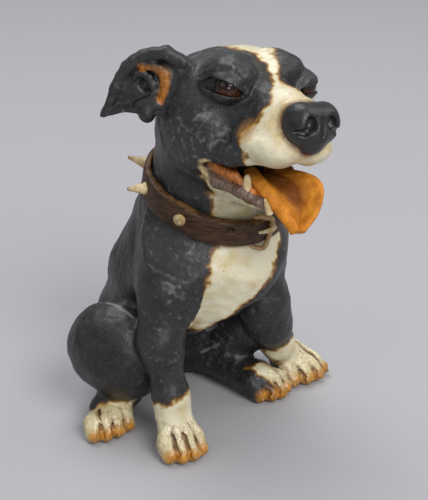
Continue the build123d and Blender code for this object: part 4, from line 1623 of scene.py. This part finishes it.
def glaze(name, light, warm):
    tree, shader, finish = new_finish(name)
    hollow = stored(tree, "hollow")
    wander = times(tree, calc(tree, "SUBTRACT", noise(tree, 8, 6), 0.5), border_wander)
    share = remap(tree, add(tree, stored(tree, "cream"), wander), -border_reach, border_reach)
    edge = ramp(tree, share, border_colours + [(border_cream_at, light)])
    colour = blend(tree, remap(tree, share, 0.26, 0.36), charcoal_coat(tree, hollow), edge)
    colour = blend(tree, remap(tree, share, 0.6, 0.85), colour, cream_coat(tree, hollow, light, warm))
    patchy = remap(tree, noise(tree, 5), 0.2, 0.5, 0.6, 1.0)
    strength = times(tree, stored(tree, "stain_and_shade", "Alpha"), patchy)
    colour = blend(tree, strength, colour, streaky_stain_and_shade(tree))
    coat(tree, shader, colour, remap(tree, share, 0.3, 0.7, charcoal_roughness, cream_roughness))
    smooth_cream = remap(tree, share, 0.4, 0.7, 1.0, 0.35)
    bump(tree, shader, times(tree, two_grains(tree, (6, 6), (1.3, 3), 0.35), smooth_cream), 0.8)
    return finish


# %% [markdown]
# The small pieces have finishes of their own. The tongue is a dry stain, with painted shadow in its dip and
# towards its root, the eyes are a thick gloss, the nose has painted shade in its hollows, the collar is
# brushed brown to look like leather, and bone-coloured pieces darken at their tips. Each is mixed from a
# few colours by noise, because one flat colour would look like plastic.

# %% Small finishes
tongue_orange, tongue_rust = (0.68, 0.26, 0.026), (0.46, 0.155, 0.014)
tongue_grain, tongue_painted_shadow = (0.26, 0.075, 0.008), (0.1, 0.022, 0.003)
bone_pale, bone_warm, bone_tip = (0.62, 0.5, 0.29), (0.42, 0.27, 0.1), (0.25, 0.13, 0.04)
claw_light, claw_dark = (0.36, 0.19, 0.05), (0.2, 0.085, 0.02)
leather_dark, leather_light, leather_rim = (0.018, 0.007, 0.003), (0.075, 0.032, 0.012), (0.2, 0.1, 0.03)
eye_black, eye_brown, eye_fleck = (0.003, 0.0015, 0.001), (0.09, 0.026, 0.005), (0.006, 0.0025, 0.002)
nose_dark, nose_light, nostril_painted_shade = (0.007, 0.007, 0.007), (0.02, 0.02, 0.021), (0.003, 0.003, 0.003)


def dry_tongue(name):
    tree, shader, finish = new_finish(name)
    mottled = mottle(tree, 7, 5, 0.35, 0.65, tongue_orange, tongue_rust)
    grain = remap(tree, noise(tree, 1.3, 3), 0.55, 0.75, 0.0, 0.5)
    mottled = blend(tree, grain, mottled, tongue_grain)
    # Painted shadow in the tongue's dip and towards its root.
    painted_shade_share = remap(tree, stored(tree, "hollow"), 0.2, 1.0, 0.0, 0.85)
    coat(tree, shader, blend(tree, painted_shade_share, mottled, tongue_painted_shadow), 0.62, 0.2)
    bump(tree, shader, two_grains(tree, (4, 4), (1.2, 3), 0.4), 1.0)
    return finish


def bone(name):
    tree, shader, finish = new_finish(name)
    pale = mottle(tree, 4, 4, 0.4, 0.7, bone_pale, bone_warm)
    tip = add(tree, stored(tree, "along"), times(tree, noise(tree, 3), 0.3))
    coat(tree, shader, blend(tree, remap(tree, tip, 0.75, 1.2, 0.0, 0.85), pale, bone_tip), 0.45)
    bump(tree, shader, noise(tree, 2, 4), 0.6)
    return finish


def claw(name):
    tree, shader, finish = new_finish(name)
    horn = mottle(tree, 2, 4, 0.35, 0.65, claw_light, claw_dark)
    root = remap(tree, stored(tree, "along"), 0.0, 0.4, 0.8, 0.0)
    coat(tree, shader, blend(tree, root, horn, burnt), 0.5)
    return finish


def leather(name):
    tree, shader, finish = new_finish(name)
    streaks = remap(tree, noise(tree, 3, 5, (3, 3, 0.6)), 0.35, 0.68)
    brown = blend(tree, streaks, leather_dark, leather_light)
    wander = times(tree, calc(tree, "SUBTRACT", noise(tree, 6, 4), 0.5), 0.5)
    rim = add(tree, stored(tree, "edge"), wander)
    brown = blend(tree, remap(tree, rim, 0.9, 1.05, 0.0, 0.7), brown, leather_rim)
    coat(tree, shader, brown, 0.5, 0.3)
    bump(tree, shader, noise(tree, 1.8, 5, (2.5, 2.5, 0.7)), 0.9)
    return finish


def gloss_eye(name):
    tree, shader, finish = new_finish(name)
    low = remap(tree, stored(tree, "rise"), -0.7, 0.35, 1.0, 0.0)
    brown = blend(tree, low, eye_black, eye_brown)
    flecks = remap(tree, noise(tree, 1.6, 3), 0.42, 0.6, 0.0, 0.85)
    coat(tree, shader, blend(tree, flecks, brown, eye_fleck), 0.08, 0.4)
    bump(tree, shader, noise(tree, 2.5, 3), 0.25)
    return finish


def satin_nose(name):
    tree, shader, finish = new_finish(name)
    dark = mottle(tree, 8, 4, 0.35, 0.7, nose_dark, nose_light)
    # Painted shade: the nostrils and the nose's other hollows are painted near black.
    painted_shade_share = remap(tree, stored(tree, "hollow"), 0.15, 0.6, 0.0, 0.9)
    coat(tree, shader, blend(tree, painted_shade_share, dark, nostril_painted_shade), 0.36)
    bump(tree, shader, two_grains(tree, (5, 4), (1.2, 3), 0.3), 0.6)
    return finish


makers = {
    "body_glaze": (glaze, cream_light, cream_warm),
    "white_glaze": (glaze, paw_light, paw_warm),
    "mouth_stain": (glaze, cream_light, cream_warm),
    "nose_glaze": (satin_nose,),
    "eye_glaze": (gloss_eye,),
    "tongue_stain": (dry_tongue,),
    "bone_glaze": (bone,),
    "claw_stain": (claw,),
    "collar_stain": (leather,),
}
finishes = {slot: make(slot, *colours) for slot, (make, *colours) in makers.items()}
print("finishes:", len(finishes))

# %% [markdown]
# Seven spikes stand round the collar, one pitch apart from the buckle's right, with the first one knocked
# askew. Each toe ends in a claw that points down to the ground. The horn tree grows both, with the sizes
# given here.

# %% Spikes and claws
spike_count, spike_first, spike_pitch = 7, 79, 36
spike_proud = strap_thick - 1.2
bent_spike_angle = 73
bent_spike_lean = (0.25, -0.45, 0.3)
spike_size = {"Length": 0.0152, "Root_radius": 0.0054, "Tip_radius": 0.0012, "Droop": 0.0, "Sides": 18}
claw_size = {"Length": 0.0055, "Root_radius": 0.0027, "Tip_radius": 0.0011, "Droop": -0.001, "Sides": 12}
claw_ahead, claw_side, claw_down = 0.7, 0.12, -0.7
claw_back, claw_rise = 3.6, 1.6

spike_angles = np.arange(spike_count) * spike_pitch + spike_first
spike_angles[0] = bent_spike_angle
spike_roots, spike_aims = round_neck(spike_angles, np.full(spike_count, spike_proud), np.zeros(spike_count))
spike_aims[0] = unit(spike_aims[0] + spot(*bent_spike_lean))
pieces["collar_spikes"] = grow_horns("collar_spikes_clay", spike_roots, spike_aims, finishes["bone_glaze"],
                                     **spike_size)
for name, paw in paws.items():
    roots, aims = [], []
    for _, _, tip, ahead, side in toe_stops(paw):
        roots.append(tip + ahead * (toe_radius - claw_back) + spot(0, 0, claw_rise))
        aims.append(unit(ahead * claw_ahead + side * claw_side + spot(0, 0, claw_down)))
    pieces[name + "_claws"] = grow_horns(name + "_claws_clay", roots, aims, finishes["claw_stain"],
                                         **claw_size)

# %% [markdown]
# Now every piece gets the finish of its slot in the frame's record, rides on the one body and takes the
# place of its node.

# %% Hand each piece to the frame
slot_of = {entry["node"]: entry["material_slot"] for entry in frame["record"]["subparts"]}
for name, piece in pieces.items():
    if not piece.data.materials:
        piece.data.materials.append(finishes[slot_of[name]])
    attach(piece, "root")
    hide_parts(name)
faces = [face for piece in pieces.values() for face in piece.data.polygons]
print("pieces", len(pieces), "triangles", sum(len(face.vertices) - 2 for face in faces))

# %% [markdown]
# A pale floor, a grey world and five soft lamps: a key from the front, a weak fill from the dog's right,
# one from its left, a broad one like a sky from behind and above, and a small low one that puts the glint
# into the eye. Small lamps alone would leave hard spots on a glaze. The camera stands where the picture was
# taken: a little above the dog, off to its right.

# %% Studio and camera
half_floor, floor_gap = 3, 0.0002
floor_colour, floor_roughness = (0.39, 0.386, 0.404, 1), 0.9
world_colour, world_strength = (0.8, 0.82, 0.86, 1), 0.4
# Each lamp: its place, its two widths and its watts.
lamps = {
    "key": ((-0.5, -2.1, 2.0), (1.5, 1.5), 50),
    "fill": ((-2.3, 0.3, 1.6), (1.8, 1.4), 5),
    "rim": ((1.6, -0.9, 1.9), (1.6, 1.2), 10),
    "sky": ((0.3, 0.9, 2.6), (2.2, 2.2), 45),
    "catch": ((-0.95, -1.25, 0.44), (0.3, 0.3), 3),
}
lamp_target = (0, -0.05, 0.15)
view_turn, view_rise, view_reach = math.radians(-44), math.radians(24), 0.9
view_target = Vector((-0.016, -0.074, 0.145))
sensor_width = 36
photo_focal_pixels, photo_height_pixels = 1240, 500


def aim_at(thing, target):
    thing.rotation_euler = (Vector(target) - thing.location).to_track_quat("-Z", "Y").to_euler()


floor_mesh = bpy.data.meshes.new("floor")
floor_signs = [(-1, -1), (1, -1), (1, 1), (-1, 1)]
floor_mesh.from_pydata([(x * half_floor, y * half_floor, 0) for x, y in floor_signs], [], [(0, 1, 2, 3)])
floor = place_in_scene("floor", floor_mesh)
floor.location.z = cad_box[0][2] - floor_gap
_, floor_shader, floor_finish = new_finish("pale_floor")
floor_shader.inputs["Base Color"].default_value = floor_colour
floor_shader.inputs["Roughness"].default_value = floor_roughness
floor_mesh.materials.append(floor_finish)

world = bpy.data.worlds.new("studio")
bpy.context.scene.world = world
world.use_nodes = True
world.node_tree.nodes["Background"].inputs["Color"].default_value = world_colour
world.node_tree.nodes["Background"].inputs["Strength"].default_value = world_strength

for name, (place, widths, watts) in lamps.items():
    light = bpy.data.lights.new(name, "AREA")
    light.shape = "ELLIPSE"
    light.size, light.size_y = widths
    light.energy = watts
    lamp = place_in_scene(name, light)
    lamp.location = place
    aim_at(lamp, lamp_target)

view_level = math.cos(view_rise)
view_back = Vector((math.sin(view_turn) * view_level, -math.cos(view_turn) * view_level,
                    math.sin(view_rise)))
camera_data = bpy.data.cameras.new("camera")
camera_data.sensor_fit = "AUTO"
camera_data.sensor_width = sensor_width
camera_data.lens = sensor_width * photo_focal_pixels / photo_height_pixels
camera = place_in_scene("camera", camera_data)
camera.location = view_target + view_back * view_reach
aim_at(camera, view_target)
bpy.context.scene.camera = camera
bpy.context.scene.view_settings.view_transform = "Standard"
print("lamps:", len(lamps))

# %% [markdown]
# At the end, the view layer is brought up to date.

# %% Finish
bpy.context.view_layer.update()
